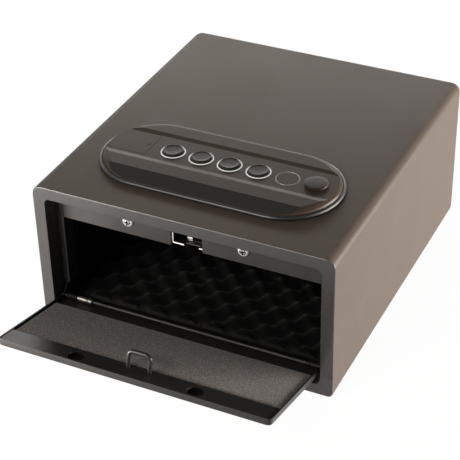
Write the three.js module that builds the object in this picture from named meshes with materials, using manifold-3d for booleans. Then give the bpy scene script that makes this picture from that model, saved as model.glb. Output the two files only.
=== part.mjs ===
// Portable car safe: steel box with a drop-down door, a keypad on the lid and a key override.
// Millimetres. +X to the right, +Y to the back, +Z up. The origin is the centre of the underside.
// The door stands open on its stops, as at rest; the latch hook is raised, ready for the door.
import * as THREE from "three";
import { mergeVertices } from "three/addons/utils/BufferGeometryUtils.js";
import Module from "manifold-3d";

const wasm = await Module();
wasm.setup();

// Fits and facets that all pieces share
const clearance = 0.3;
const overrun = 2;
const bendSteps = 4;
const roundSides = 24;
const smallSides = 12;

// Driving dimensions of the steel body
const body = {
  width: 254,
  depth: 290,
  height: 128,
  sheet: 1.5,
  topBend: 8,
  bottomBend: 4,
  backBend: 7.5,
  frontBend: 1,
  leastBend: 0.2,
  rimSide: 10.4,
  rimTop: 10.5,
  rimBottom: 9.6,
  openingCorner: 4.5,
  returnDepth: 15.3,
  backFlange: 14,
  anchorRadius: 4,
  anchorFromSide: 40,
  anchorFromEnd: 60,
  cableHoleRadius: 4,
};
const halfWidth = body.width / 2;
const frontY = -body.depth / 2;
const backY = body.depth / 2;
const innerHalf = halfWidth - body.sheet;
const roofInner = body.height - body.sheet;
const opening = {
  half: halfWidth - body.rimSide,
  low: body.rimBottom,
  high: body.height - body.rimTop,
};

// Door, in its closed place beside the hinge axis: y points into the safe, z up along the door
const door = {
  axisFromFront: 11.2,
  axisHeight: 18,
  openAngle: 76.6,
  sideGap: 2.3,
  topGap: 0.5,
  tail: 6.8,
  outerFace: 4,
  thickness: 5.6,
  sheet: 1,
  corner: 4,
  edgeRounding: 1.2,
  lobeRadius: 4,
  armLength: 14,
  armHalfWidth: 2,
  armAngle: 50,
  armSteps: 6,
};
const doorHalf = opening.half - door.sideGap;
const doorReach = opening.high - door.topGap - door.axisHeight;
const doorFloor = -door.outerFace + door.sheet;
const doorTip = -door.outerFace + door.thickness;
const axisY = frontY + door.axisFromFront;

const channel = {
  fromEdge: 1.3,
  width: 18.7,
  belowTip: 0.6,
  sheet: 1,
  dimpleRadius: 6.5,
  dimpleX: 50,
  dimpleFromEdge: 9,
  cupWall: 0.8,
};
const channelHigh = doorReach - channel.fromEdge;
const channelLow = channelHigh - channel.width;
const channelFace = doorTip - channel.belowTip;

const pad = {
  sideMargin: 2.3,
  fromAxis: 16.8,
  gapToChannel: 0.6,
  belowTip: 0.9,
  corner: 1.5,
  crown: 0.5,
  crownShares: [0, 0.45, 0.8, 1],
  crownInsets: 3,
};

const loop = {
  wireRadius: 1.75,
  spacing: 18.3,
  fromEdge: 15,
  rise: 15.9,
  bend: 4,
  sides: 10,
  steps: 36,
};

// Hinge rod with its springs and sleeve
const rod = {
  radius: 1.5,
  headRadius: 2.5,
  headWidth: 1.1,
  collarWidth: 1,
  leftCollarInset: 26.4,
  rightCollarInset: 14.4,
};
const leftCollarX = -doorHalf + rod.leftCollarInset;
const rightCollarX = doorHalf - rod.rightCollarInset;
const spring = {
  wireRadius: 0.5,
  coilRadius: 2.2,
  pitch: 2.06,
  turns: 5,
  leg: 3,
  sides: 5,
  stepsPerTurn: 8,
  fromCheek: 1.2,
};
const sleeve = { radius: 2.4, length: 12.9 };

// Strips beside the opening, and the lining
const strip = { face: 6, sheet: 1.2, legDepth: 12, lowEnd: 28.3 };
const foam = {
  side: 8,
  floorFrom: 30,
  base: 5,
  bump: 8,
  cell: 13,
  sheetGap: 1.4,
  backBase: 5,
  backBump: 8,
};

// Sheet cover under the lid that hides the lock, and its screws
const cover = {
  height: 35.2,
  depth: 124,
  sheet: 1.2,
  notchHalf: 13.35,
  notchShift: -1.25,
  notchBelowLid: 19.5,
  floorNotchDepth: 6,
};
const coverFront = frontY + body.returnDepth + clearance;
const coverHalf = opening.half - strip.face - clearance;
const coverLow = body.height - cover.height;
const coverFloor = coverLow + cover.sheet;
const screw = {
  spacing: 98.4,
  shift: -2.1,
  belowLid: 22.9,
  headRadius: 4.5,
  headHeight: 2,
  crossLength: 5,
  crossWidth: 1.1,
  crossDepth: 1.2,
  shankRadius: 2.1,
  nutRadius: 4,
  nutHeight: 3,
};
const screwZ = body.height - screw.belowLid;
const screwX = (side) => screw.shift + (side * screw.spacing) / 2;

// Latch behind the notch: its mouth and the tongue bent up from it lie beside the middle
const latch = {
  frameHalf: 13.5,
  frameShift: -0.85,
  frameSheet: 1.2,
  frameBelowLid: 12,
  frameBack: 45.5,
  floorBack: 44,
  mouthFrom: -4.2,
  mouthTo: 8.8,
  mouthDepth: 7.9,
  tongueFrom: -4.9,
  tongueTo: -0.6,
  tongueHeight: 2,
  pinFromFront: 38,
  pinBelowLid: 21,
  pinRadius: 1.6,
  pinHeadRadius: 2.6,
  pinHeadWidth: 0.8,
};
const pinZ = body.height - latch.pinBelowLid;
const frameLeft = latch.frameShift - latch.frameHalf;
const frameRight = latch.frameShift + latch.frameHalf;
const hook = {
  halfThickness: 2,
  bossRadius: 4,
  armLow: -2.4,
  armHigh: 1.9,
  noseFront: -18.2,
  noseBack: -14.2,
  noseLow: -9,
  tailReach: 14,
  tailHalf: 2,
  raised: 30,
};
const bar = {
  belowLid: 29,
  thickness: 2.5,
  frontFromFront: 53,
  width: 6,
  fingerWidth: 6,
  fingerReach: 7,
  fingerGap: 3.9,
  tabWidth: 3,
  tabBelowLid: 21.3,
  tabBack: 3.7,
};
const barLow = body.height - bar.belowLid;
const barHigh = barLow + bar.thickness;
const guide = { x: 34, width: 10, sheet: 1.5 };
const solenoid = {
  length: 28,
  width: 14,
  height: 12,
  right: -22,
  boreRadius: 3.3,
  capDepth: 4,
  plungerRadius: 3,
  plungerReach: 18,
};

// Keypad panel on the lid: heights are above the lid, depths from the front of the body
const panel = {
  halfLength: 102,
  radius: 46.8,
  centreFromFront: 75.2,
  endSteps: 24,
  gasket: 0.6,
  gasketInset: 1,
  gasketWidth: 3,
  rimHeight: 3.6,
  rimFoot: 0.3,
  rimRound: 1.9,
  rimRoundSteps: 4,
  beadWidth: 2.1,
  grooveDepth: 0.3,
  rimWidth: 2.6,
  top: 7,
  shoulder: 5.5,
  shoulderSteps: 3,
  facetFoot: 0.2,
  facetTo: 45.2,
  creaseFrom: 58.6,
  floorFrom: 63.6,
  floorTo: 97.4,
  stepTo: 101.6,
  floor: 6.2,
  cavityHeight: 3.9,
  wall: 2.6,
  studRadius: 1.9,
  studX: 62,
  studFromFront: 108,
  studEnd: 6,
  nutRadius: 4,
  nutHeight: 3.2,
};
const keys = {
  count: 4,
  firstX: -43.4,
  spacing: 24.7,
  fromFront: 79.1,
  radius: 8.3,
  proud: 1.9,
  dish: 0.4,
  dishRadius: 6.9,
  edge: 0.8,
  flangeRadius: 9.6,
  flangeLow: 2.9,
  flange: 0.7,
  holeGap: 0.3,
  travel: 1,
};
const ring = { inner: 9.1, outer: 10.1, thickness: 1.1, proud: 0.3 };
const marker = { inner: 8.8, outer: 9.7, thickness: 0.8, proud: 0.15 };
const board = { left: -58, right: 66, front: 63, back: 96, low: 0.4, thickness: 1.2 };

// Key lock under its round cap
const keyLock = {
  x: 79.2,
  bodyRadius: 8.3,
  plugRadius: 5.6,
  belowLid: 20,
  high: 5,
  nutRadius: 12,
  nutHeight: 4,
  slotLength: 7,
  slotWidth: 1.3,
  slotDepth: 3,
  camThickness: 2.5,
  camReach: 9.5,
  camHalfWidth: 2.5,
  camHubRadius: 2.7,
  capRadius: 9.2,
  capHeight: 2.1,
  capEdge: 0.7,
  capCrown: 0.3,
  capNeckRadius: 7.8,
  capNeck: 0.9,
};
const keyLockLow = body.height - keyLock.belowLid;

// Battery well for four upright cells, and its cover in the panel
const cell = { radius: 7.2, height: 50.5, nubRadius: 2.75, nubHeight: 1.2, pitch: 14.8 };
const well = { x: -78, fromFront: 81, wall: 1.2, play: 0.25, contact: 0.5 };
const lidPlate = {
  right: -62.5,
  front: 66.5,
  back: 97,
  insetFromRim: 4.8,
  thickness: 1.3,
  markLength: 4,
  markWidth: 1,
  markDepth: 0.4,
  markFromRight: 3,
  markFromFront: 12,
};

const colours = {
  coat: 0x5a534e,
  coatDark: 0x3c3a38,
  foam: 0x1b1a1a,
  padFoam: 0x3e3934,
  plastic: 0x4b423c,
  rubber: 0x151414,
  chrome: 0xc9c9c9,
  steel: 0x9a9a98,
  zinc: 0xb9b8b2,
  light: 0xf4f4f0,
  board: 0x1f5a34,
  cellWrap: 0x2f3438,
  brass: 0xb8963e,
};
const finishes = {
  coat: { color: colours.coat, roughness: 0.62, metalness: 0 },
  coatDark: { color: colours.coatDark, roughness: 0.6, metalness: 0 },
  foam: { color: colours.foam, roughness: 0.95, metalness: 0 },
  padFoam: { color: colours.padFoam, roughness: 0.95, metalness: 0 },
  plastic: { color: colours.plastic, roughness: 0.42, metalness: 0 },
  rubber: { color: colours.rubber, roughness: 0.85, metalness: 0 },
  chrome: { color: colours.chrome, roughness: 0.15, metalness: 1 },
  steel: { color: colours.steel, roughness: 0.35, metalness: 1 },
  zinc: { color: colours.zinc, roughness: 0.3, metalness: 1 },
  light: { color: colours.light, roughness: 0.3, metalness: 0 },
  board: { color: colours.board, roughness: 0.5, metalness: 0 },
  cellWrap: { color: colours.cellWrap, roughness: 0.4, metalness: 0 },
  brass: { color: colours.brass, roughness: 0.35, metalness: 1 },
};

// Solids and how they are joined
function toSolid(geometry) {
  geometry.deleteAttribute("normal");
  geometry.deleteAttribute("uv");
  const merged = mergeVertices(geometry);
  const mesh = new wasm.Mesh({
    numProp: 3,
    vertProperties: merged.attributes.position.array,
    triVerts: new Uint32Array(merged.index.array),
  });
  return new wasm.Manifold(mesh);
}

function toGeometry(solid) {
  const mesh = solid.getMesh();
  const positions = new Float32Array(mesh.numVert * 3);
  for (let i = 0; i < mesh.numVert; i++) {
    positions.set(mesh.vertProperties.subarray(i * mesh.numProp, i * mesh.numProp + 3), i * 3);
  }
  const geometry = new THREE.BufferGeometry();
  geometry.setAttribute("position", new THREE.BufferAttribute(positions, 3));
  geometry.setIndex(new THREE.BufferAttribute(mesh.triVerts, 1));
  const loose = geometry.toNonIndexed();
  loose.computeVertexNormals();
  return loose;
}

const join = (first, ...others) => others.reduce((whole, other) => whole.add(other), first);
const cut = (first, ...others) => others.reduce((whole, other) => whole.subtract(other), first);

function box([x0, x1], [y0, y1], [z0, z1]) {
  const geometry = new THREE.BoxGeometry(x1 - x0, y1 - y0, z1 - z0);
  geometry.translate((x0 + x1) / 2, (y0 + y1) / 2, (z0 + z1) / 2);
  return toSolid(geometry);
}

// Each plane maps an outline's two coordinates and its depth to the part's axes
const planes = {
  lid: new THREE.Matrix4(),
  front: new THREE.Matrix4().makeBasis(
    new THREE.Vector3(1, 0, 0),
    new THREE.Vector3(0, 0, 1),
    new THREE.Vector3(0, -1, 0),
  ),
  side: new THREE.Matrix4().makeBasis(
    new THREE.Vector3(0, 1, 0),
    new THREE.Vector3(0, 0, 1),
    new THREE.Vector3(1, 0, 0),
  ),
};
const shifts = {
  lid: ([from]) => [0, 0, from],
  front: ([, to]) => [0, to, 0],
  side: ([from]) => [from, 0, 0],
};

function prism(plane, outline, span) {
  const shape = new THREE.Shape(outline.map(([a, b]) => new THREE.Vector2(a, b)));
  const geometry = new THREE.ExtrudeGeometry(shape, { depth: span[1] - span[0], bevelEnabled: false });
  geometry.applyMatrix4(planes[plane]);
  geometry.translate(...shifts[plane](span));
  return toSolid(geometry);
}

// Cylinder along x, y or z between two places
function cylinder(axis, [a, b], radius, [from, to], sides = roundSides) {
  const geometry = new THREE.CylinderGeometry(radius, radius, to - from, sides);
  const middle = (from + to) / 2;
  if (axis === "x") {
    geometry.rotateZ(Math.PI / 2);
    geometry.translate(middle, a, b);
  } else if (axis === "y") {
    geometry.translate(a, middle, b);
  } else {
    geometry.rotateX(Math.PI / 2);
    geometry.translate(a, b, middle);
  }
  return toSolid(geometry);
}

// Solid of revolution about a vertical line; the profile runs up from radius 0 to radius 0
function turned(profile, [x, y], sides = roundSides) {
  const points = profile.map(([radius, z]) => new THREE.Vector2(radius, z));
  const geometry = new THREE.LatheGeometry(points, sides);
  geometry.rotateX(Math.PI / 2);
  geometry.translate(x, y, 0);
  return toSolid(geometry);
}

// Closed skin over rings of points that all have the same count
function loft(rings) {
  const count = rings[0].length;
  const positions = [];
  const triangles = [];
  rings.forEach((points) => points.forEach((point) => positions.push(...point)));
  for (let k = 0; k + 1 < rings.length; k++) {
    for (let i = 0; i < count; i++) {
      const a = k * count + i;
      const b = k * count + ((i + 1) % count);
      triangles.push(a, b, b + count, a, b + count, a + count);
    }
  }
  const centreOf = (points) =>
    [0, 1, 2].map((axis) => points.reduce((sum, point) => sum + point[axis], 0) / points.length);
  const first = positions.length / 3;
  positions.push(...centreOf(rings[0]), ...centreOf(rings[rings.length - 1]));
  const lastRing = (rings.length - 1) * count;
  for (let i = 0; i < count; i++) {
    const next = (i + 1) % count;
    triangles.push(first, next, i, first + 1, lastRing + i, lastRing + next);
  }
  const geometry = new THREE.BufferGeometry();
  geometry.setAttribute("position", new THREE.Float32BufferAttribute(positions, 3));
  geometry.setIndex(triangles);
  return toSolid(geometry);
}

// Counter-clockwise rounded rectangle; the radii are those of the low and the high corners
function roundedOutline([left, right], [low, high], [lowRadius, highRadius], steps = bendSteps) {
  const corners = [
    [right, low, lowRadius, -Math.PI / 2],
    [right, high, highRadius, 0],
    [left, high, highRadius, Math.PI / 2],
    [left, low, lowRadius, Math.PI],
  ];
  const points = [];
  for (const [x, z, radius, start] of corners) {
    const cx = x === right ? x - radius : x + radius;
    const cz = z === high ? z - radius : z + radius;
    for (let i = 0; i <= steps; i++) {
      const angle = start + (Math.PI / 2) * (i / steps);
      points.push([cx + radius * Math.cos(angle), cz + radius * Math.sin(angle)]);
    }
  }
  return points;
}

// Counter-clockwise outline with two half-round ends, as the keypad panel has
function panelOutline(inset) {
  const straight = panel.halfLength - panel.radius;
  const radius = panel.radius - inset;
  const centre = frontY + panel.centreFromFront;
  const points = [];
  for (const [side, start] of [
    [1, -Math.PI / 2],
    [-1, Math.PI / 2],
  ]) {
    for (let i = 0; i <= panel.endSteps; i++) {
      const angle = start + Math.PI * (i / panel.endSteps);
      points.push([side * straight + radius * Math.cos(angle), centre + radius * Math.sin(angle)]);
    }
  }
  return points;
}

const raise = (outline, z) => outline.map(([x, y]) => [x, y, z]);
const lid = (height) => body.height + height;

const safe = new THREE.Group();

function add(name, solid, finish, parent = safe) {
  const mesh = new THREE.Mesh(toGeometry(solid), new THREE.MeshStandardMaterial(finish));
  mesh.name = name;
  parent.add(mesh);
}

// Body: one bent and welded sheet with the front rim, its return and the back flange
function bodyRing(inset, y) {
  const bends = [body.bottomBend, body.topBend].map((bend) => Math.max(bend - inset, body.leastBend));
  const outline = roundedOutline(
    [-halfWidth + inset, halfWidth - inset],
    [inset, body.height - inset],
    bends,
  );
  return outline.map(([x, z]) => [x, y, z]);
}

function bodySkin(inset) {
  const rings = [];
  const front = Math.max(body.frontBend - inset, 0);
  for (let i = 0; i < bendSteps; i++) {
    const angle = (Math.PI / 2) * (i / bendSteps);
    const shrink = inset + front * (1 - Math.sin(angle));
    if (front > 0) rings.push(bodyRing(shrink, frontY + inset + front * (1 - Math.cos(angle))));
  }
  rings.push(bodyRing(inset, frontY + inset + front));
  const back = body.backBend - inset;
  for (let i = 0; i <= bendSteps; i++) {
    const angle = (Math.PI / 2) * (i / bendSteps);
    rings.push(bodyRing(inset + back * (1 - Math.cos(angle)), backY - inset - back * (1 - Math.sin(angle))));
  }
  return loft(rings.reverse());
}

function openingOutline(grow) {
  const radius = body.openingCorner + grow;
  return roundedOutline(
    [-opening.half - grow, opening.half + grow],
    [opening.low - grow, opening.high + grow],
    [radius, radius],
  );
}

const wellPitch = cell.pitch / 2 + cell.radius + well.play;
const wellOutline = (grow) => {
  const reach = wellPitch + grow;
  const radius = cell.radius + well.play + grow;
  const centre = frontY + well.fromFront;
  return roundedOutline(
    [well.x - reach, well.x + reach],
    [centre - reach, centre + reach],
    [radius, radius],
  );
};
const keyRowY = frontY + keys.fromFront;
const studY = frontY + panel.studFromFront;
const anchorX = halfWidth - body.anchorFromSide;
const anchorY = backY - body.anchorFromEnd;
const anchorPlaces = [
  [-anchorX, -anchorY],
  [anchorX, -anchorY],
  [-anchorX, anchorY],
  [anchorX, anchorY],
];

function outerBody() {
  const returnEnd = frontY + body.returnDepth;
  const roof = [roofInner - overrun, body.height + overrun];
  const floor = [-overrun, body.sheet + overrun];
  let shell = cut(bodySkin(0), bodySkin(body.sheet));
  shell = join(shell, prism("front", openingOutline(body.sheet), [frontY + body.frontBend, returnEnd]));
  shell = cut(
    shell,
    prism("front", openingOutline(0), [frontY - overrun, returnEnd + overrun]),
    box(
      [-halfWidth + body.backFlange, halfWidth - body.backFlange],
      [backY - body.sheet - overrun, backY + overrun],
      [body.backFlange, body.height - body.backFlange],
    ),
    prism("lid", wellOutline(well.wall + clearance), roof),
    cylinder("z", [keyLock.x, keyRowY], keyLock.bodyRadius + clearance, roof),
    cylinder("z", [0, keyRowY], body.cableHoleRadius, roof, smallSides),
    cylinder("x", [axisY, door.axisHeight], rod.radius + clearance, [-halfWidth + overrun, halfWidth - overrun]),
  );
  for (const side of [-1, 1]) {
    const stud = panel.studRadius + clearance;
    shell = cut(shell, cylinder("z", [side * panel.studX, studY], stud, roof, smallSides));
  }
  for (const place of anchorPlaces) {
    shell = cut(shell, cylinder("z", place, body.anchorRadius, floor, smallSides));
  }
  return shell;
}
add("outer_body", outerBody(), finishes.coat);

const panelInset = body.backBend;
const backPanelY = backY - body.sheet - clearance;
add(
  "back_panel",
  prism(
    "front",
    roundedOutline(
      [-halfWidth + panelInset, halfWidth - panelInset],
      [panelInset, body.height - panelInset],
      [body.leastBend, body.topBend - body.sheet],
    ),
    [backPanelY - body.sheet, backPanelY],
  ),
  finishes.coatDark,
);

const plug = { radius: body.anchorRadius - clearance, headRadius: 6, head: 0.8 };
anchorPlaces.forEach((place, i) => {
  const top = body.sheet + clearance + plug.head;
  const profile = [
    [0, clearance],
    [plug.radius, clearance],
    [plug.radius, body.sheet + clearance],
    [plug.headRadius, body.sheet + clearance],
    [plug.headRadius, top],
    [0, top],
  ];
  add("anchor_plug_" + (i + 1), turned(profile, place, smallSides), finishes.rubber);
});

// Strips beside the opening: a face towards the door and a leg along the lining
const stripFront = coverFront;
const stripHigh = roofInner - clearance;
const sides = [
  ["left", -1],
  ["right", 1],
];
const span = (side, near, far) => (side < 0 ? [-far, -near] : [near, far]);
for (const [label, side] of sides) {
  const near = opening.half - strip.face;
  const heights = [strip.lowEnd, stripHigh - body.topBend];
  const face = box(
    span(side, near, innerHalf - clearance),
    [stripFront, stripFront + strip.sheet],
    heights,
  );
  const leg = box(
    span(side, near, near + strip.sheet),
    [stripFront, stripFront + strip.sheet + strip.legDepth],
    heights,
  );
  add("door_stop_" + label, join(face, leg), finishes.coatDark);
}

// Lining: flat side pads, and convoluted foam on the floor and the back
const foamHalf = innerHalf - clearance - foam.side;
const foamHigh = roofInner - clearance - body.topBend;
const foamLow = body.sheet + clearance + plug.head + clearance;
const foamBack = backPanelY - body.sheet - clearance;
for (const [label, side] of sides) {
  add(
    label + "_foam",
    box(
      span(side, foamHalf, innerHalf - clearance),
      [stripFront + strip.sheet + clearance, backY - body.backBend - clearance],
      [body.bottomBend, foamHigh],
    ),
    finishes.foam,
  );
}

// Slab whose face rises and falls by turns from cell to cell, like convoluted foam
function convoluted([u0, u1], [v0, v1], base, bump, place) {
  const across = Math.round((u1 - u0) / foam.cell);
  const along = Math.round((v1 - v0) / foam.cell);
  const positions = [];
  const triangles = [];
  const index = (i, j) => i * (along + 1) + j;
  for (let i = 0; i <= across; i++) {
    for (let j = 0; j <= along; j++) {
      const peak = (i + j) % 2 === 0;
      const u = u0 + (u1 - u0) * (i / across);
      const v = v0 + (v1 - v0) * (j / along);
      positions.push(...place(u, v, peak ? base + bump : base));
    }
  }
  for (let i = 0; i < across; i++) {
    for (let j = 0; j < along; j++) {
      const [a, b, c, d] = [index(i, j), index(i + 1, j), index(i + 1, j + 1), index(i, j + 1)];
      triangles.push(...((i + j) % 2 === 0 ? [a, b, c, a, c, d] : [a, b, d, b, c, d]));
    }
  }
  const border = [];
  for (let i = 0; i < across; i++) border.push([i, 0]);
  for (let j = 0; j < along; j++) border.push([across, j]);
  for (let i = across; i > 0; i--) border.push([i, along]);
  for (let j = along; j > 0; j--) border.push([0, j]);
  const lower = positions.length / 3;
  for (const [i, j] of border) {
    positions.push(...place(u0 + (u1 - u0) * (i / across), v0 + (v1 - v0) * (j / along), 0));
  }
  const centre = positions.length / 3;
  positions.push(...place((u0 + u1) / 2, (v0 + v1) / 2, 0));
  border.forEach(([i, j], k) => {
    const next = (k + 1) % border.length;
    const top = index(i, j);
    const topNext = index(...border[next]);
    triangles.push(top, lower + k, topNext, topNext, lower + k, lower + next);
    triangles.push(centre, lower + next, lower + k);
  });
  const geometry = new THREE.BufferGeometry();
  geometry.setAttribute("position", new THREE.Float32BufferAttribute(positions, 3));
  geometry.setIndex(triangles);
  return toSolid(geometry);
}
const backFoamFront = foamBack - foam.backBase - foam.backBump;
const liningSpan = [-foamHalf + clearance, foamHalf - clearance];
add(
  "floor_foam",
  convoluted(
    liningSpan,
    [frontY + foam.floorFrom, backFoamFront - clearance],
    foam.base,
    foam.bump,
    (u, v, rise) => [u, v, foamLow + rise],
  ),
  finishes.foam,
);
add(
  "back_foam",
  convoluted(liningSpan, [body.bottomBend, foamHigh], foam.backBase, foam.backBump, (u, v, rise) => [
    u,
    foamBack - rise,
    v,
  ]),
  finishes.foam,
);

// Hinge rod, held in the returns beside the opening, with heads outside and two collars
function hingeRod() {
  const place = [axisY, door.axisHeight];
  const end = opening.half + body.sheet + clearance;
  const parts = [cylinder("x", place, rod.radius, [-end, end], smallSides)];
  for (const side of [-1, 1]) {
    parts.push(cylinder("x", place, rod.headRadius, span(side, end, end + rod.headWidth), smallSides));
  }
  for (const x of [leftCollarX, rightCollarX]) {
    parts.push(cylinder("x", place, rod.headRadius, [x, x + rod.collarWidth], smallSides));
  }
  return join(...parts);
}
add("hinge_rod", hingeRod(), finishes.steel);

// Torsion spring: a coil about the hinge axis whose two legs run straight to the back
class SpringCurve extends THREE.Curve {
  constructor(side) {
    super();
    this.side = side;
    this.turnLength = Math.hypot(2 * Math.PI * spring.coilRadius, spring.pitch);
    this.coilLength = this.turnLength * spring.turns;
    this.total = this.coilLength + 2 * spring.leg;
  }

  getPoint(share, target = new THREE.Vector3()) {
    const along = share * this.total - spring.leg;
    const clamped = Math.min(Math.max(along, 0), this.coilLength);
    const angle = (2 * Math.PI * clamped) / this.turnLength;
    const run = along - clamped;
    const outer = doorHalf - door.sheet - spring.fromCheek;
    const x = this.side * (outer - (spring.pitch * clamped) / this.turnLength);
    const y = spring.coilRadius * Math.sin(angle) + (run < 0 ? -run : 0);
    const reach = run > 0 ? run : 0;
    return target.set(
      x,
      axisY + y + reach,
      door.axisHeight + spring.coilRadius * Math.cos(angle) * -1,
    );
  }
}

function roundSection(radius, count) {
  const points = [];
  for (let i = 0; i < count; i++) {
    const angle = (2 * Math.PI * i) / count;
    points.push(new THREE.Vector2(radius * Math.cos(angle), radius * Math.sin(angle)));
  }
  return new THREE.Shape(points);
}

// Least distance between stretches of wire that are at least half a turn apart
function leastGap(curve, lengthApart, radius) {
  const samples = Math.ceil(curve.total / radius);
  const points = curve.getSpacedPoints(samples);
  const apart = Math.ceil((lengthApart / curve.total) * samples);
  let least = Infinity;
  for (let i = 0; i < points.length; i++) {
    for (let j = i + apart; j < points.length; j++) {
      least = Math.min(least, points[i].distanceTo(points[j]));
    }
  }
  return least - 2 * radius;
}

for (const [label, side] of sides) {
  const curve = new SpringCurve(side);
  const steps = Math.round((spring.stepsPerTurn * curve.total) / curve.turnLength);
  const geometry = new THREE.ExtrudeGeometry(roundSection(spring.wireRadius, spring.sides), {
    steps,
    bevelEnabled: false,
    extrudePath: curve,
  });
  const gap = leastGap(curve, curve.turnLength / 2, spring.wireRadius);
  console.log("hinge_spring_" + label + ": least gap of the wire to itself " + gap.toFixed(2) + " mm");
  add("hinge_spring_" + label, toSolid(geometry), finishes.zinc);
}

function hingeSleeve() {
  const place = [axisY, door.axisHeight];
  const right = leftCollarX - clearance;
  const spanX = [right - sleeve.length, right];
  return cut(
    cylinder("x", place, sleeve.radius, spanX, smallSides),
    cylinder("x", place, rod.radius + clearance, [spanX[0] - overrun, spanX[1] + overrun], smallSides),
  );
}
add("hinge_sleeve", hingeSleeve(), finishes.chrome);

// Door, built shut about the hinge axis and turned open
const doorGroup = new THREE.Group();
doorGroup.position.set(0, axisY, door.axisHeight);
doorGroup.rotation.x = THREE.MathUtils.degToRad(door.openAngle);
safe.add(doorGroup);

function doorRing(inset, y) {
  const radius = Math.max(door.corner - inset, body.leastBend);
  const outline = roundedOutline(
    [-doorHalf + inset, doorHalf - inset],
    [-door.tail + inset, doorReach - inset],
    [radius, radius],
  );
  return outline.map(([x, z]) => [x, y, z]);
}

// Stop arm of a cheek: it swings up behind the strip beside the opening
function armOutline() {
  const angle = THREE.MathUtils.degToRad(door.armAngle - door.openAngle);
  const points = [];
  for (let i = 0; i <= door.armSteps; i++) {
    const turn = angle - Math.PI / 2 + Math.PI * (i / door.armSteps);
    const reach = door.armLength - door.armHalfWidth;
    points.push([
      reach * Math.cos(angle) + door.armHalfWidth * Math.cos(turn),
      reach * Math.sin(angle) + door.armHalfWidth * Math.sin(turn),
    ]);
  }
  for (const turn of [Math.PI / 2, -Math.PI / 2]) {
    points.push([door.armHalfWidth * Math.cos(angle + turn), door.armHalfWidth * Math.sin(angle + turn)]);
  }
  return points;
}

function doorPanel() {
  const outer = -door.outerFace;
  const rounding = door.edgeRounding;
  const rings = [];
  for (let i = 0; i <= 2; i++) {
    const angle = (Math.PI / 2) * (i / 2);
    rings.push(doorRing(rounding * (1 - Math.sin(angle)), outer + rounding * (1 - Math.cos(angle))));
  }
  rings.push(doorRing(0, doorTip));
  const pocket = box(
    [-doorHalf + door.sheet, doorHalf - door.sheet],
    [doorFloor, doorTip + overrun],
    [-door.tail - overrun, doorReach - door.sheet],
  );
  let panelSolid = cut(loft(rings.reverse()), pocket);
  for (const [, side] of sides) {
    const thick = span(side, doorHalf - door.sheet, doorHalf);
    const lobe = cylinder("x", [0, 0], door.lobeRadius - clearance, thick, smallSides);
    panelSolid = join(panelSolid, lobe, prism("side", armOutline(), thick));
  }
  const reach = doorHalf + overrun;
  return cut(panelSolid, cylinder("x", [0, 0], rod.radius + clearance, [-reach, reach], smallSides));
}
add("door_panel", doorPanel(), finishes.coatDark, doorGroup);

// Channel along the free edge: folded strip with two round cups that clear the cover's screws
const insideHalf = doorHalf - door.sheet - clearance;
const loopZ = doorReach - loop.fromEdge;
function edgeChannel() {
  const low = doorFloor + clearance;
  let solid = cut(
    box([-insideHalf, insideHalf], [low, channelFace], [channelLow, channelHigh]),
    box(
      [-insideHalf - overrun, insideHalf + overrun],
      [low - overrun, channelFace - channel.sheet],
      [channelLow + channel.sheet, channelHigh - channel.sheet],
    ),
  );
  const cupZ = doorReach - channel.dimpleFromEdge;
  for (const side of [-1, 1]) {
    const place = [side * channel.dimpleX, cupZ];
    const wall = channel.dimpleRadius + channel.cupWall;
    const cup = cylinder("y", place, wall, [low, channelFace]);
    const hollow = cylinder("y", place, channel.dimpleRadius, [low + channel.cupWall, channelFace + overrun]);
    solid = cut(join(solid, cup), hollow);
    const foot = cylinder("y", [(side * loop.spacing) / 2, loopZ], loop.wireRadius + clearance, [
      low - overrun,
      channelFace + overrun,
    ]);
    solid = cut(solid, foot);
  }
  return solid;
}
add("door_edge_channel", edgeChannel(), finishes.coatDark, doorGroup);

function doorPad() {
  const padHalf = doorHalf - pad.sideMargin;
  const high = channelLow - pad.gapToChannel;
  const low = pad.fromAxis;
  const bottom = doorFloor + clearance;
  const top = doorTip - pad.belowTip;
  const ringAt = (inset, y) =>
    roundedOutline([-padHalf + inset, padHalf - inset], [low + inset, high - inset], [pad.corner, pad.corner]).map(
      ([x, z]) => [x, y, z],
    );
  const rings = [ringAt(0, bottom)];
  for (const share of pad.crownShares) {
    rings.push(ringAt(pad.crownInsets * share * share, top - pad.crown * (1 - share)));
  }
  return loft(rings.reverse());
}
add("door_pad", doorPad(), finishes.padFoam, doorGroup);

class LoopCurve extends THREE.CurvePath {
  constructor() {
    super();
    const x = loop.spacing / 2;
    const foot = doorFloor + clearance + clearance;
    const top = channelFace + loop.rise - loop.wireRadius;
    const knee = top - loop.bend;
    const at = (px, py) => new THREE.Vector3(px, py, loopZ);
    this.add(new THREE.LineCurve3(at(-x, foot), at(-x, knee)));
    this.add(new THREE.QuadraticBezierCurve3(at(-x, knee), at(-x, top), at(-x + loop.bend, top)));
    this.add(new THREE.LineCurve3(at(-x + loop.bend, top), at(x - loop.bend, top)));
    this.add(new THREE.QuadraticBezierCurve3(at(x - loop.bend, top), at(x, top), at(x, knee)));
    this.add(new THREE.LineCurve3(at(x, knee), at(x, foot)));
  }
}
add(
  "striker_loop",
  toSolid(
    new THREE.ExtrudeGeometry(roundSection(loop.wireRadius, loop.sides), {
      steps: loop.steps,
      bevelEnabled: false,
      extrudePath: new LoopCurve(),
    }),
  ),
  finishes.steel,
  doorGroup,
);

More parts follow.
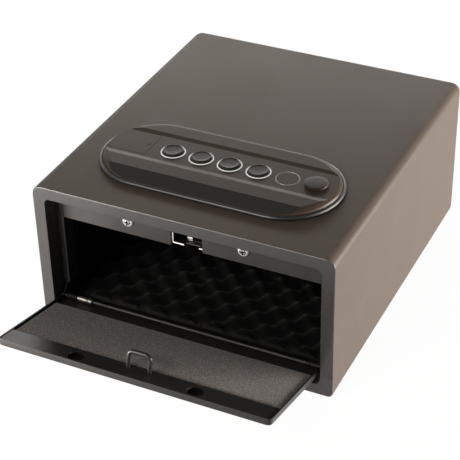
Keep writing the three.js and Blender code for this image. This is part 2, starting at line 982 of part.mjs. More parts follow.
// Lock cover: front with the latch notch, floor and back, under the lid
function lockCover() {
  const back = frontY + cover.depth;
  const notchHigh = body.height - cover.notchBelowLid;
  const notch = [cover.notchShift - cover.notchHalf, cover.notchShift + cover.notchHalf];
  const high = roofInner - clearance;
  const across = [-coverHalf, coverHalf];
  let solid = join(
    box(across, [coverFront, coverFront + cover.sheet], [coverLow, high]),
    box(across, [coverFront, back], [coverLow, coverFloor]),
    box(across, [back - cover.sheet, back], [coverLow, high]),
  );
  solid = cut(
    solid,
    box(notch, [coverFront - overrun, coverFront + cover.sheet + overrun], [coverLow - overrun, notchHigh]),
    box(
      notch,
      [coverFront - overrun, coverFront + cover.floorNotchDepth],
      [coverLow - overrun, coverFloor + overrun],
    ),
    prism("lid", wellOutline(well.wall + clearance), [coverLow - overrun, coverFloor + overrun]),
  );
  for (const side of [-1, 1]) {
    solid = cut(
      solid,
      cylinder("y", [screwX(side), screwZ], screw.shankRadius + clearance, [
        coverFront - overrun,
        coverFront + cover.sheet + overrun,
      ]),
    );
  }
  return solid;
}
add("lock_cover", lockCover(), finishes.coatDark);

// Cover screw with its nut: the sheet lies between head and nut
function coverScrew(x) {
  const place = [x, screwZ];
  const headBack = coverFront - clearance;
  const headFront = headBack - screw.headHeight;
  const nutFront = coverFront + cover.sheet + clearance;
  const nutBack = nutFront + screw.nutHeight;
  const cross = (dx, dz) =>
    box(
      [x - dx / 2, x + dx / 2],
      [headFront - overrun, headFront + screw.crossDepth],
      [screwZ - dz / 2, screwZ + dz / 2],
    );
  const whole = join(
    cylinder("y", place, screw.headRadius, [headFront, headBack]),
    cylinder("y", place, screw.shankRadius, [headFront + screw.crossDepth, nutBack], smallSides),
    cylinder("y", place, screw.nutRadius, [nutFront, nutBack], 6),
  );
  return cut(whole, cross(screw.crossLength, screw.crossWidth), cross(screw.crossWidth, screw.crossLength));
}
for (const [label, side] of sides) {
  add("cover_screw_" + label, coverScrew(screwX(side)), finishes.chrome);
}

// Latch frame: plated channel on the floor of the lock cover, with a mouth and a bent-up tongue
const pinY = frontY + latch.pinFromFront;
const frameFront = coverFront + cover.sheet + clearance;
function latchFrame() {
  const low = coverFloor + clearance;
  const back = frontY + latch.frameBack;
  const high = body.height - latch.frameBelowLid;
  const floorTop = low + latch.frameSheet;
  const mouthBack = frameFront + latch.mouthDepth;
  const parts = [
    box([frameLeft, frameLeft + latch.frameSheet], [frameFront, back], [low, high]),
    box([frameRight - latch.frameSheet, frameRight], [frameFront, back], [low, high]),
    box([frameLeft, frameRight], [frameFront, frontY + latch.floorBack], [low, floorTop]),
  ];
  const tongue = box(
    [latch.tongueFrom, latch.tongueTo],
    [mouthBack, mouthBack + latch.frameSheet],
    [low, floorTop + latch.tongueHeight],
  );
  const open = cut(
    join(...parts),
    box(
      [latch.mouthFrom, latch.mouthTo],
      [frameFront - overrun, mouthBack],
      [low - overrun, floorTop + overrun],
    ),
    cylinder("x", [pinY, pinZ], latch.pinRadius + clearance, [frameLeft - overrun, frameRight + overrun]),
  );
  return join(open, tongue);
}
add("latch_frame", latchFrame(), finishes.chrome);

function hookPin() {
  const place = [pinY, pinZ];
  const left = frameLeft - clearance;
  const right = frameRight + clearance;
  return join(
    cylinder("x", place, latch.pinRadius, [left, right], smallSides),
    cylinder("x", place, latch.pinHeadRadius, [left - latch.pinHeadWidth, left], smallSides),
    cylinder("x", place, latch.pinHeadRadius, [right, right + latch.pinHeadWidth], smallSides),
  );
}
add("hook_pin", hookPin(), finishes.steel);

// Hook, built latched about its pin and turned up
const hookGroup = new THREE.Group();
hookGroup.position.set(0, pinY, pinZ);
hookGroup.rotation.x = -THREE.MathUtils.degToRad(hook.raised);
safe.add(hookGroup);

function latchHook() {
  const thick = [-hook.halfThickness, hook.halfThickness];
  const outline = [
    [hook.noseFront, hook.noseLow],
    [hook.noseBack, hook.noseLow],
    [hook.noseBack, hook.armLow],
    [hook.tailReach, -hook.tailHalf],
    [hook.tailReach, hook.tailHalf],
    [0, hook.armHigh],
    [hook.noseBack, hook.armHigh],
    [hook.noseFront, hook.noseLow / 2],
  ];
  const whole = join(prism("side", outline, thick), cylinder("x", [0, 0], hook.bossRadius, thick));
  const bore = latch.pinRadius + clearance;
  return cut(whole, cylinder("x", [0, 0], bore, [thick[0] - overrun, thick[1] + overrun], smallSides));
}
add("latch_hook", latchHook(), finishes.zinc, hookGroup);

// Lock bar: its finger slides under the tail of the latched hook, its tab meets the key cam
const barFront = frontY + bar.frontFromFront;
const barBack = barFront + bar.width;
const fingerRight = -hook.halfThickness - bar.fingerGap;
const fingerLeft = fingerRight - bar.fingerWidth;
const tabRight = keyLock.x - Math.hypot(keyLock.camReach, keyLock.camHalfWidth) - clearance;
const plungerZ = (barLow + barHigh) / 2;
const plungerY = (barFront + barBack) / 2;
function lockBar() {
  const tabLeft = tabRight - bar.tabWidth;
  const tabHigh = body.height - bar.tabBelowLid;
  const heights = [barLow, barHigh];
  return join(
    box([fingerLeft, tabRight], [barFront, barBack], heights),
    box([fingerLeft, fingerRight], [barFront - bar.fingerReach, barBack], heights),
    box([tabLeft, tabRight], [barFront, keyRowY + bar.tabBack], heights),
    box([tabLeft, tabRight], [barBack, keyRowY + bar.tabBack], [barLow, tabHigh]),
  );
}
add("lock_bar", lockBar(), finishes.zinc);
add(
  "solenoid_plunger",
  cylinder("x", [plungerY, plungerZ], solenoid.plungerRadius, [
    solenoid.right - solenoid.plungerReach,
    fingerLeft - clearance,
  ]),
  finishes.steel,
);

function solenoidBody() {
  const low = coverFloor + clearance;
  const left = solenoid.right - solenoid.length;
  return cut(
    box(
      [left, solenoid.right],
      [plungerY - solenoid.width / 2, plungerY + solenoid.width / 2],
      [low, low + solenoid.height],
    ),
    cylinder("x", [plungerY, plungerZ], solenoid.boreRadius, [left + solenoid.capDepth, solenoid.right + overrun]),
  );
}
add("solenoid", solenoidBody(), finishes.steel);

function barGuide() {
  const low = coverFloor + clearance;
  const inFront = barFront - clearance;
  const behind = barBack + clearance;
  const roof = barHigh + clearance;
  const across = [guide.x, guide.x + guide.width];
  return join(
    box(across, [inFront - guide.sheet, inFront], [low, roof + guide.sheet]),
    box(across, [behind, behind + guide.sheet], [low, roof + guide.sheet]),
    box(across, [inFront - guide.sheet, behind + guide.sheet], [roof, roof + guide.sheet]),
    box(across, [inFront, behind], [low, barLow - clearance]),
  );
}
add("bar_guide", barGuide(), finishes.zinc);

// Keypad housing: domed panel with a sunk key row, a front facet, a cavity and two studs
const keyPlaces = Array.from({ length: keys.count }, (_, i) => [keys.firstX + i * keys.spacing, keyRowY]);
const markerPlace = [keys.firstX + keys.count * keys.spacing, keyRowY];
const underside = panel.gasket + clearance + clearance;
const wellHigh = lid(panel.cavityHeight - clearance);

function lidPlateOutline(grow) {
  const inside = prism("lid", panelOutline(lidPlate.insetFromRim - grow), [lid(0), lid(panel.top)]);
  const across = [-panel.halfLength, lidPlate.right + grow];
  const along = [frontY + lidPlate.front - grow, frontY + lidPlate.back + grow];
  return (from, to) => inside.intersect(box(across, along, [lid(from), lid(to)]));
}

function keypadHousing() {
  const grooveHigh = panel.rimHeight - panel.grooveDepth;
  const rings = [
    raise(panelOutline(panel.rimFoot), lid(underside)),
    raise(panelOutline(0), lid(underside + panel.rimFoot)),
  ];
  for (let i = 0; i <= panel.rimRoundSteps; i++) {
    const angle = (Math.PI / 2) * (i / panel.rimRoundSteps);
    rings.push(
      raise(
        panelOutline(panel.rimRound * (1 - Math.cos(angle))),
        lid(panel.rimHeight - panel.rimRound * (1 - Math.sin(angle))),
      ),
    );
  }
  rings.push(
    raise(panelOutline(panel.beadWidth), lid(panel.rimHeight)),
    raise(panelOutline(panel.beadWidth + panel.grooveDepth), lid(grooveHigh)),
    raise(panelOutline(panel.rimWidth), lid(grooveHigh)),
  );
  for (let i = 1; i <= panel.shoulderSteps; i++) {
    const angle = (Math.PI / 2) * (i / panel.shoulderSteps);
    rings.push(
      raise(
        panelOutline(panel.rimWidth + panel.shoulder * (1 - Math.cos(angle))),
        lid(grooveHigh + (panel.top - grooveHigh) * Math.sin(angle)),
      ),
    );
  }
  const reach = panel.halfLength + overrun;
  const across = [-reach, reach];
  const d = (value) => frontY + value;
  const above = lid(panel.top + overrun);
  const sunk = prism(
    "side",
    [
      [d(panel.creaseFrom), above],
      [d(panel.creaseFrom), lid(panel.top)],
      [d(panel.floorFrom), lid(panel.floor)],
      [d(panel.floorTo), lid(panel.floor)],
      [d(panel.stepTo), lid(panel.top)],
      [d(panel.stepTo), above],
    ],
    across,
  );
  const outside = panel.centreFromFront - panel.radius - overrun;
  const foot = panel.centreFromFront - panel.radius + panel.rimWidth;
  const footHigh = panel.rimHeight + panel.facetFoot;
  const facet = prism(
    "side",
    [
      [d(outside), above],
      [d(outside), lid(footHigh)],
      [d(foot), lid(footHigh)],
      [d(panel.facetTo), lid(panel.top)],
      [d(panel.facetTo), above],
    ],
    across,
  );
  let solid = cut(loft(rings), sunk, facet);
  const cavity = raise(panelOutline(panel.wall), lid(0));
  const cavityTop = raise(panelOutline(panel.wall + panel.shoulder), lid(panel.cavityHeight));
  solid = cut(solid, loft([cavity, cavityTop]));
  for (const side of [-1, 1]) {
    solid = join(
      solid,
      cylinder(
        "z",
        [side * panel.studX, studY],
        panel.studRadius,
        [roofInner - panel.studEnd, lid(panel.floor)],
        smallSides,
      ),
    );
  }
  for (const place of keyPlaces) {
    const bore = cylinder("z", place, keys.radius + keys.holeGap, [lid(0), lid(panel.top)]);
    const seat = cylinder("z", place, ring.outer + clearance, [
      lid(panel.floor + ring.proud - ring.thickness - clearance),
      lid(panel.top),
    ]);
    solid = cut(solid, bore, seat);
  }
  const markerFloor = lid(panel.floor + marker.proud - marker.thickness - clearance);
  const markerSeat = cut(
    cylinder("z", markerPlace, marker.outer + clearance, [markerFloor, lid(panel.top)]),
    cylinder("z", markerPlace, marker.inner - clearance, [lid(0), lid(panel.top + overrun)]),
  );
  return cut(
    solid,
    markerSeat,
    cylinder("z", [keyLock.x, keyRowY], keyLock.bodyRadius + clearance, [lid(0), lid(panel.top)]),
    prism("lid", wellOutline(well.wall + clearance), [lid(0), wellHigh + clearance]),
    prism("lid", wellOutline(0), [lid(0), lid(panel.top)]),
    lidPlateOutline(clearance)(panel.floor - lidPlate.thickness - clearance, panel.top),
  );
}
add("keypad_housing", keypadHousing(), finishes.plastic);

add(
  "keypad_gasket",
  cut(
    prism("lid", panelOutline(panel.gasketInset), [lid(clearance), lid(clearance + panel.gasket)]),
    prism("lid", panelOutline(panel.gasketInset + panel.gasketWidth), [lid(0), lid(panel.top)]),
  ),
  finishes.rubber,
);

function circuitBoard() {
  const heights = [lid(board.low), lid(board.low + board.thickness)];
  return box([board.left, board.right], [frontY + board.front, frontY + board.back], heights);
}
add("circuit_board", circuitBoard(), finishes.board);

keyPlaces.forEach((place, i) => {
  const top = panel.floor + keys.proud;
  const profile = [
    [0, lid(keys.flangeLow)],
    [keys.flangeRadius, lid(keys.flangeLow)],
    [keys.flangeRadius, lid(keys.flangeLow + keys.flange)],
    [keys.radius, lid(keys.flangeLow + keys.flange)],
    [keys.radius, lid(top - keys.edge)],
    [keys.radius - keys.edge, lid(top)],
    [keys.dishRadius, lid(top)],
    [0, lid(top - keys.dish)],
  ];
  add("key_button_" + (i + 1), turned(profile, place), finishes.plastic);
  const high = lid(panel.floor + ring.proud);
  const low = high - ring.thickness;
  add(
    "light_ring_" + (i + 1),
    cut(
      cylinder("z", place, ring.outer, [low, high]),
      cylinder("z", place, ring.inner, [low - overrun, high + overrun]),
    ),
    finishes.light,
  );
});

const markerHigh = lid(panel.floor + marker.proud);
const markerLow = markerHigh - marker.thickness;
add(
  "marker_ring",
  cut(
    cylinder("z", markerPlace, marker.outer, [markerLow, markerHigh]),
    cylinder("z", markerPlace, marker.inner, [markerLow - overrun, markerHigh + overrun]),
  ),
  finishes.zinc,
);

for (const [label, side] of sides) {
  const high = roofInner - clearance;
  const place = [side * panel.studX, studY];
  add(
    "panel_nut_" + label,
    cut(
      cylinder("z", place, panel.nutRadius, [high - panel.nutHeight, high], 6),
      cylinder(
        "z",
        place,
        panel.studRadius + clearance,
        [high - panel.nutHeight - overrun, high + overrun],
        smallSides,
      ),
    ),
    finishes.steel,
  );
}

// Key lock: barrel through the lid, its nut, the plug with its cam, and the cap over it
const keyPlace = [keyLock.x, keyRowY];
const lockHigh = lid(keyLock.high);
add(
  "key_lock_body",
  cut(
    cylinder("z", keyPlace, keyLock.bodyRadius, [keyLockLow, lockHigh]),
    cylinder("z", keyPlace, keyLock.plugRadius + clearance, [keyLockLow - overrun, lockHigh + overrun]),
  ),
  finishes.zinc,
);
const nutHigh = roofInner - clearance;
add(
  "key_lock_nut",
  cut(
    cylinder("z", keyPlace, keyLock.nutRadius, [nutHigh - keyLock.nutHeight, nutHigh], 6),
    cylinder("z", keyPlace, keyLock.bodyRadius + clearance, [
      nutHigh - keyLock.nutHeight - overrun,
      nutHigh + overrun,
    ]),
  ),
  finishes.steel,
);
const camHigh = keyLockLow - clearance - clearance;
const camLow = camHigh - keyLock.camThickness;
add(
  "key_plug",
  cut(
    cylinder("z", keyPlace, keyLock.plugRadius, [camHigh + clearance, lockHigh - clearance]),
    box(
      [keyLock.x - keyLock.slotLength / 2, keyLock.x + keyLock.slotLength / 2],
      [keyRowY - keyLock.slotWidth / 2, keyRowY + keyLock.slotWidth / 2],
      [lockHigh - keyLock.slotDepth, lockHigh + overrun],
    ),
  ),
  finishes.brass,
);
add(
  "key_cam",
  join(
    cylinder("z", keyPlace, keyLock.camHubRadius, [camLow, camHigh]),
    box(
      [keyLock.x - keyLock.camHalfWidth, keyLock.x + keyLock.camHalfWidth],
      [keyRowY - keyLock.camReach, keyRowY],
      [camLow, camHigh],
    ),
  ),
  finishes.zinc,
);
const capLow = panel.floor + clearance;
const capTop = capLow + keyLock.capHeight;
add(
  "key_cap",
  turned(
    [
      [0, lid(capLow - keyLock.capNeck)],
      [keyLock.capNeckRadius, lid(capLow - keyLock.capNeck)],
      [keyLock.capNeckRadius, lid(capLow)],
      [keyLock.capRadius, lid(capLow)],
      [keyLock.capRadius, lid(capTop - keyLock.capEdge)],
      [keyLock.capRadius - keyLock.capEdge, lid(capTop)],
      [0, lid(capTop + keyLock.capCrown)],
    ],
    keyPlace,
  ),
  finishes.plastic,
);

// Battery well with four upright cells, its contact plate and its cover
const lidPlateLow = panel.floor - lidPlate.thickness;
const cellTop = lid(lidPlateLow - clearance);
const cellLow = cellTop - cell.height;
const contactHigh = cellLow - clearance;
const wellFloor = contactHigh - well.contact - clearance;
add(
  "battery_well",
  cut(
    prism("lid", wellOutline(well.wall), [wellFloor - well.wall, wellHigh]),
    prism("lid", wellOutline(0), [wellFloor, wellHigh + overrun]),
  ),
  finishes.rubber,
);
add(
  "battery_contact",
  prism("lid", wellOutline(-clearance), [contactHigh - well.contact, contactHigh]),
  finishes.zinc,
);
let cellNumber = 0;
for (const dx of [-1, 1]) {
  for (const dy of [-1, 1]) {
    cellNumber += 1;
    const place = [well.x + (dx * cell.pitch) / 2, frontY + well.fromFront + (dy * cell.pitch) / 2];
    const shoulder = cellTop - cell.nubHeight;
    const profile = [
      [0, cellLow],
      [cell.radius, cellLow],
      [cell.radius, shoulder],
      [cell.nubRadius, shoulder],
      [cell.nubRadius, cellTop],
      [0, cellTop],
    ];
    add("battery_cell_" + cellNumber, turned(profile, place, roundSides), finishes.cellWrap);
  }
}

function batteryCover() {
  const markX = lidPlate.right - lidPlate.markFromRight;
  const markY = frontY + lidPlate.front + lidPlate.markFromFront;
  const mark = box(
    [markX - lidPlate.markWidth, markX],
    [markY, markY + lidPlate.markLength],
    [lid(panel.floor - lidPlate.markDepth), lid(panel.floor + overrun)],
  );
  return cut(lidPlateOutline(0)(lidPlateLow, panel.floor), mark);
}
add("battery_cover", batteryCover(), finishes.plastic);

export default safe;
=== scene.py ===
"""Portable car safe: pieces, finishes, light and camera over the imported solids."""
import logging
import math
from dataclasses import dataclass, replace
from enum import Enum
from typing import Callable, Iterable, Optional, Sequence, Union

import bmesh
import bpy
from mathutils import Matrix, Vector, noise


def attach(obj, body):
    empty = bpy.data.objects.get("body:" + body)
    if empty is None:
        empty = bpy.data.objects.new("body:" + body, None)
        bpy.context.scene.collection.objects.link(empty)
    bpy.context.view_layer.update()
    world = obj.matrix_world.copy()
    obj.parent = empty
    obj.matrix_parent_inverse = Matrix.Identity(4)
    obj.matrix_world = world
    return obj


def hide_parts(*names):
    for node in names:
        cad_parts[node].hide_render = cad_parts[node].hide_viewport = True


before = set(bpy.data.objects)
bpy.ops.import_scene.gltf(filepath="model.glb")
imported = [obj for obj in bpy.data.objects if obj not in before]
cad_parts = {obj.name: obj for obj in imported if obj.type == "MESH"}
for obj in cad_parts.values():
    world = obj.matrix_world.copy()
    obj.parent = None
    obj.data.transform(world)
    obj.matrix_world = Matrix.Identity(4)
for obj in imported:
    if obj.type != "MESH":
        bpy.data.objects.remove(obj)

LOG = logging.getLogger("car_safe")
# Lengths are written in millimetres, and the meshes are in metres.
MM = 0.001
# Points nearer than this are one, and facets that differ by less than this are one flat.
MERGE = 0.002 * MM
FLAT = math.radians(0.6)
FLAT_WEIGHT = 60
BEVEL_STEPS = 2
SLAB_STEPS = 3
TUBE_SMOOTH = 50.0
# The colour sockets of a Mix node share their names with others, so they go by number.
COLOUR_A, COLOUR_B, COLOUR_OUT = 6, 7, 2
Colour = tuple[float, float, float]
Point = tuple[float, float, float]
Span = tuple[float, float]
Profile = Sequence[tuple[float, float]]
Socket = bpy.types.NodeSocket


def preset(node: bpy.types.Node, values: dict[Union[str, int], object]) -> None:
    """Gives a node's own sockets their values."""
    for socket, value in values.items():
        node.inputs[socket].default_value = value


def linked(name: str, data: bpy.types.ID) -> bpy.types.Object:
    """Adds an object with its data to the scene.

    Args:
        name: the object's name.
        data: its mesh, curve, camera or lamp.

    Returns:
        The new object.
    """
    made = bpy.data.objects.new(name, data)
    bpy.context.scene.collection.objects.link(made)
    return made


def as_mesh(bm: bmesh.types.BMesh, name: str) -> bpy.types.Mesh:
    """Turns a bmesh into a mesh and frees it.

    Args:
        bm: the shape, in metres.
        name: the mesh's name.

    Returns:
        The mesh.
    """
    mesh = bpy.data.meshes.new(name)
    bm.to_mesh(mesh)
    bm.free()
    return mesh


def evaluated(piece: bpy.types.Object) -> bpy.types.Mesh:
    """Gives the mesh of an object as its modifiers or its curve settings make it."""
    return bpy.data.meshes.new_from_object(
        piece.evaluated_get(bpy.context.evaluated_depsgraph_get()),
    )


class Grain(Enum):
    """The kinds of surface relief that the finishes use."""

    POWDER = "powder"
    MOULDED = "moulded"
    BRUSHED = "brushed"
    CELLS = "cells"
    SMOOTH = "smooth"


class Groups:
    """Shader node groups that several finishes share, each made once.

    The pairs are the ranges of a noise that are stretched over the whole of a mask.
    """

    made: dict[str, bpy.types.NodeTree] = {}
    brushed_along: Point = (0.06, 1.0, 1.0)
    pores: Span = (0.05, 0.75)
    powder: Span = (0.3, 0.72)
    specks: Span = (0.3, 0.8)
    patches: Span = (0.32, 0.68)

    @classmethod
    def _start(
        cls, name: str, inputs: Sequence[tuple[str, float]], outputs: Sequence[str],
    ) -> tuple[bpy.types.NodeTree, bpy.types.Node, bpy.types.Node]:
        """Opens a new group.

        Args:
            name: the group's name.
            inputs: names and defaults of its number inputs.
            outputs: names of its number outputs.

        Returns:
            The tree, its input node and its output node.
        """
        tree = bpy.data.node_groups.new(name, "ShaderNodeTree")
        for label, value in inputs:
            socket = tree.interface.new_socket(label, in_out="INPUT", socket_type="NodeSocketFloat")
            socket.default_value = value
        for label in outputs:
            tree.interface.new_socket(label, in_out="OUTPUT", socket_type="NodeSocketFloat")
        entry = tree.nodes.new("NodeGroupInput")
        leave = tree.nodes.new("NodeGroupOutput")
        cls.made[name] = tree
        return tree, entry, leave

    @staticmethod
    def _noise(
        tree: bpy.types.NodeTree, vector: Socket, scale: Socket, detail: float, rough: float = 0.55,
    ) -> Socket:
        """Adds a noise texture and returns its number output.

        Args:
            tree: the tree that gets the node.
            vector: the socket with the coordinates.
            scale: the socket with the scale.
            detail: octaves of the noise.
            rough: share of each finer octave.

        Returns:
            The output socket of the noise.
        """
        node = tree.nodes.new("ShaderNodeTexNoise")
        preset(node, {"Detail": detail, "Roughness": rough})
        tree.links.new(scale, node.inputs["Scale"])
        tree.links.new(vector, node.inputs["Vector"])
        return node.outputs["Fac"]

    @staticmethod
    def _spread(tree: bpy.types.NodeTree, value: Socket, span: Span) -> Socket:
        """Stretches a range of a value over 0 to 1.

        Args:
            tree: the tree that gets the node.
            value: the socket with the value.
            span: the range's two ends.

        Returns:
            The socket of the result.
        """
        node = tree.nodes.new("ShaderNodeMapRange")
        preset(node, {"From Min": span[0], "From Max": span[1]})
        tree.links.new(value, node.inputs["Value"])
        return node.outputs["Result"]

    @classmethod
    def relief(cls, grain: Grain) -> bpy.types.NodeTree:
        """Makes or finds the relief group of one kind of grain.

        Args:
            grain: the kind of surface relief.

        Returns:
            A group with the input Scale and the outputs Height and Mask.
        """
        name = "relief_" + grain.value
        if name in cls.made:
            return cls.made[name]
        tree, entry, leave = cls._start(name, [("Scale", 900.0)], ["Height", "Mask"])
        coords = tree.nodes.new("ShaderNodeTexCoord").outputs["Object"]
        scale = entry.outputs["Scale"]
        if grain is Grain.BRUSHED:
            mapping = tree.nodes.new("ShaderNodeMapping")
            preset(mapping, {"Scale": cls.brushed_along})
            tree.links.new(coords, mapping.inputs["Vector"])
            coords = mapping.outputs["Vector"]
        if grain is Grain.CELLS:
            cells = tree.nodes.new("ShaderNodeTexVoronoi")
            cells.feature = "F1"
            tree.links.new(coords, cells.inputs["Vector"])
            tree.links.new(scale, cells.inputs["Scale"])
            pores = cls._spread(tree, cells.outputs["Distance"], cls.pores)
            fine = cls._noise(tree, coords, scale, 3.0, 0.7)
            mix = tree.nodes.new("ShaderNodeMath")
            mix.operation = "MULTIPLY"
            tree.links.new(pores, mix.inputs[0])
            tree.links.new(fine, mix.inputs[1])
            height = mix.outputs[0]
        elif grain is Grain.POWDER:
            height = cls._spread(tree, cls._noise(tree, coords, scale, 2.0, 0.6), cls.powder)
        else:
            height = cls._noise(tree, coords, scale, 3.0)
        tree.links.new(height, leave.inputs["Height"])
        tree.links.new(cls._spread(tree, height, cls.specks), leave.inputs["Mask"])
        return tree

    @classmethod
    def handling(cls) -> bpy.types.NodeTree:
        """Makes or finds the group of large soft patches that handling and dust leave.

        Returns:
            A group with the input Scale and the output Mask.
        """
        name = "handling"
        if name in cls.made:
            return cls.made[name]
        tree, entry, leave = cls._start(name, [("Scale", 18.0)], ["Mask"])
        coords = tree.nodes.new("ShaderNodeTexCoord").outputs["Object"]
        soft = cls._noise(tree, coords, entry.outputs["Scale"], 4.0, 0.6)
        tree.links.new(cls._spread(tree, soft, cls.patches), leave.inputs["Mask"])
        return tree


@dataclass(frozen=True)
class Finish:
    """One finish: colours, gloss and relief of a surface.

    Colours are linear. Scale is per metre; depth is the relief's height in metres.
    """

    name: str
    slot: str
    colour: Colour
    speck: Colour
    roughness: tuple[float, float]
    grain: Grain = Grain.SMOOTH
    scale: float = 900.0
    depth: float = 0.00004
    strength: float = 0.35
    metallic: float = 0.0
    speck_share: float = 0.35
    patch_scale: float = 16.0
    coat: float = 0.0
    coat_roughness: float = 0.2
    sheen: float = 0.0
    specular: float = 0.5
    glow: float = 0.0

    def material(self) -> bpy.types.Material:
        """Builds the material once and finds it again later.

        Returns:
            The material of this finish.
        """
        found = bpy.data.materials.get(self.name)
        if found:
            return found
        made = bpy.data.materials.new(self.name)
        made.use_nodes = True
        made.diffuse_color = (*self.colour, 1.0)
        tree = made.node_tree
        shader = tree.nodes["Principled BSDF"]
        relief = tree.nodes.new("ShaderNodeGroup")
        relief.node_tree = Groups.relief(self.grain)
        preset(relief, {"Scale": self.scale})
        patches = tree.nodes.new("ShaderNodeGroup")
        patches.node_tree = Groups.handling()
        preset(patches, {"Scale": self.patch_scale})
        share = tree.nodes.new("ShaderNodeMath")
        share.operation = "MULTIPLY"
        preset(share, {1: self.speck_share})
        tree.links.new(relief.outputs["Mask"], share.inputs[0])
        tint = tree.nodes.new("ShaderNodeMix")
        tint.data_type = "RGBA"
        preset(tint, {COLOUR_A: (*self.colour, 1.0), COLOUR_B: (*self.speck, 1.0)})
        tree.links.new(share.outputs[0], tint.inputs[0])
        tree.links.new(tint.outputs[COLOUR_OUT], shader.inputs["Base Color"])
        gloss = tree.nodes.new("ShaderNodeMapRange")
        preset(gloss, {"To Min": self.roughness[0], "To Max": self.roughness[1]})
        tree.links.new(patches.outputs["Mask"], gloss.inputs["Value"])
        tree.links.new(gloss.outputs["Result"], shader.inputs["Roughness"])
        bump = tree.nodes.new("ShaderNodeBump")
        preset(bump, {"Strength": self.strength, "Distance": self.depth})
        tree.links.new(relief.outputs["Height"], bump.inputs["Height"])
        tree.links.new(bump.outputs["Normal"], shader.inputs["Normal"])
        preset(shader, {
            "Metallic": self.metallic, "Specular IOR Level": self.specular, "Coat Weight": self.coat,
            "Coat Roughness": self.coat_roughness, "Sheen Weight": self.sheen,
        })
        # A glow is painted light: the surface shines though it is no lamp.
        if self.glow:
            preset(shader, {"Emission Color": (*self.speck, 1.0), "Emission Strength": self.glow})
        return made


BODY_COAT = Finish(
    "body_powder_coat", "body_coat", (0.087, 0.065, 0.051), (0.121, 0.094, 0.075), (0.44, 0.48),
    Grain.POWDER, scale=1500.0, depth=0.00006, strength=0.3, speck_share=0.5, specular=0.17,
)
# Painted shade: the front rim and its return are the same body coat, painted darker and greyer where
# shade falls on them; the grey tone also stands in for the pale floor's reflection.
RIM_SHADE_COAT = replace(
    BODY_COAT, name="rim_painted_shade_coat", colour=(0.042, 0.038, 0.036), speck=(0.062, 0.057, 0.055),
    roughness=(0.26, 0.32), specular=0.45,
)
# Painted highlight: the rounding between the lid and the front rim gets a lighter, greyer and glossier
# copy of the body coat, for a bright line along the fold.
FOLD_HIGHLIGHT_COAT = replace(
    BODY_COAT, name="fold_painted_highlight_coat", colour=(0.080, 0.074, 0.070), speck=(0.110, 0.102, 0.096),
    roughness=(0.3, 0.36), specular=1.0,
)
DOOR_COAT = Finish(
    "door_satin_coat", "inner_coat", (0.020, 0.0185, 0.0175), (0.034, 0.031, 0.029), (0.36, 0.44),
    Grain.POWDER, scale=1500.0, depth=0.00005, strength=0.25, speck_share=0.4, specular=0.42,
)
CUP_SHADE = replace(
    DOOR_COAT, name="cup_shade", colour=(0.004, 0.004, 0.004), speck=(0.008, 0.0075, 0.007),
    roughness=(0.5, 0.6), specular=0.2,
)
INNER_COAT = replace(
    DOOR_COAT, name="inner_black_coat", colour=(0.020, 0.019, 0.018), speck=(0.032, 0.030, 0.029),
    roughness=(0.4, 0.5), specular=0.5,
)
COVER_COAT = replace(
    DOOR_COAT, name="cover_satin_coat", colour=(0.030, 0.029, 0.028), speck=(0.046, 0.044, 0.043),
    roughness=(0.3, 0.38), specular=0.5,
)
PAD_FOAM = Finish(
    "door_pad_foam", "pad_foam", (0.115, 0.100, 0.091), (0.42, 0.38, 0.345), (0.85, 0.95),
    Grain.CELLS, scale=1000.0, depth=0.0002, strength=0.5, speck_share=0.95, sheen=0.2,
    patch_scale=30.0, specular=0.25,
)
# Black foam, its colour darkened further as painted shade for the dim inside of the body.
BLACK_FOAM_AND_SHADE = Finish(
    "egg_foam", "lining_foam", (0.003, 0.0029, 0.0028), (0.008, 0.0077, 0.0074), (0.88, 0.96),
    Grain.CELLS, scale=1100.0, depth=0.0004, strength=0.7, speck_share=0.7, sheen=0.05, specular=0.12,
)
BRIGHT_PLATE = Finish(
    "mirror_plate", "bright_plate", (0.80, 0.79, 0.77), (0.70, 0.69, 0.67), (0.12, 0.2),
    Grain.BRUSHED, scale=1600.0, depth=0.00001, strength=0.1, metallic=1.0, speck_share=0.3,
)
ZINC_PLATE = Finish(
    "zinc_plate", "plated_steel", (0.42, 0.41, 0.40), (0.30, 0.29, 0.28), (0.24, 0.36),
    Grain.BRUSHED, scale=1400.0, depth=0.00002, strength=0.2, metallic=1.0, speck_share=0.5,
)
BLACK_STEEL = Finish(
    "blackened_steel", "plated_steel", (0.018, 0.017, 0.016), (0.032, 0.030, 0.029), (0.28, 0.38),
    Grain.BRUSHED, scale=1200.0, depth=0.00002, strength=0.2, metallic=0.2, speck_share=0.4,
    specular=0.7,
)
PANEL_PLASTIC = Finish(
    "keypad_plastic", "panel_plastic", (0.064, 0.046, 0.034), (0.080, 0.060, 0.046), (0.38, 0.42),
    Grain.MOULDED, scale=1800.0, depth=0.00003, strength=0.2, speck_share=0.4, specular=0.14,
)
KEY_PLASTIC = Finish(
    "key_plastic", "panel_plastic", (0.036, 0.027, 0.021), (0.046, 0.035, 0.028), (0.4, 0.44),
    Grain.MOULDED, scale=1800.0, depth=0.00002, strength=0.15, speck_share=0.3, specular=0.25,
)
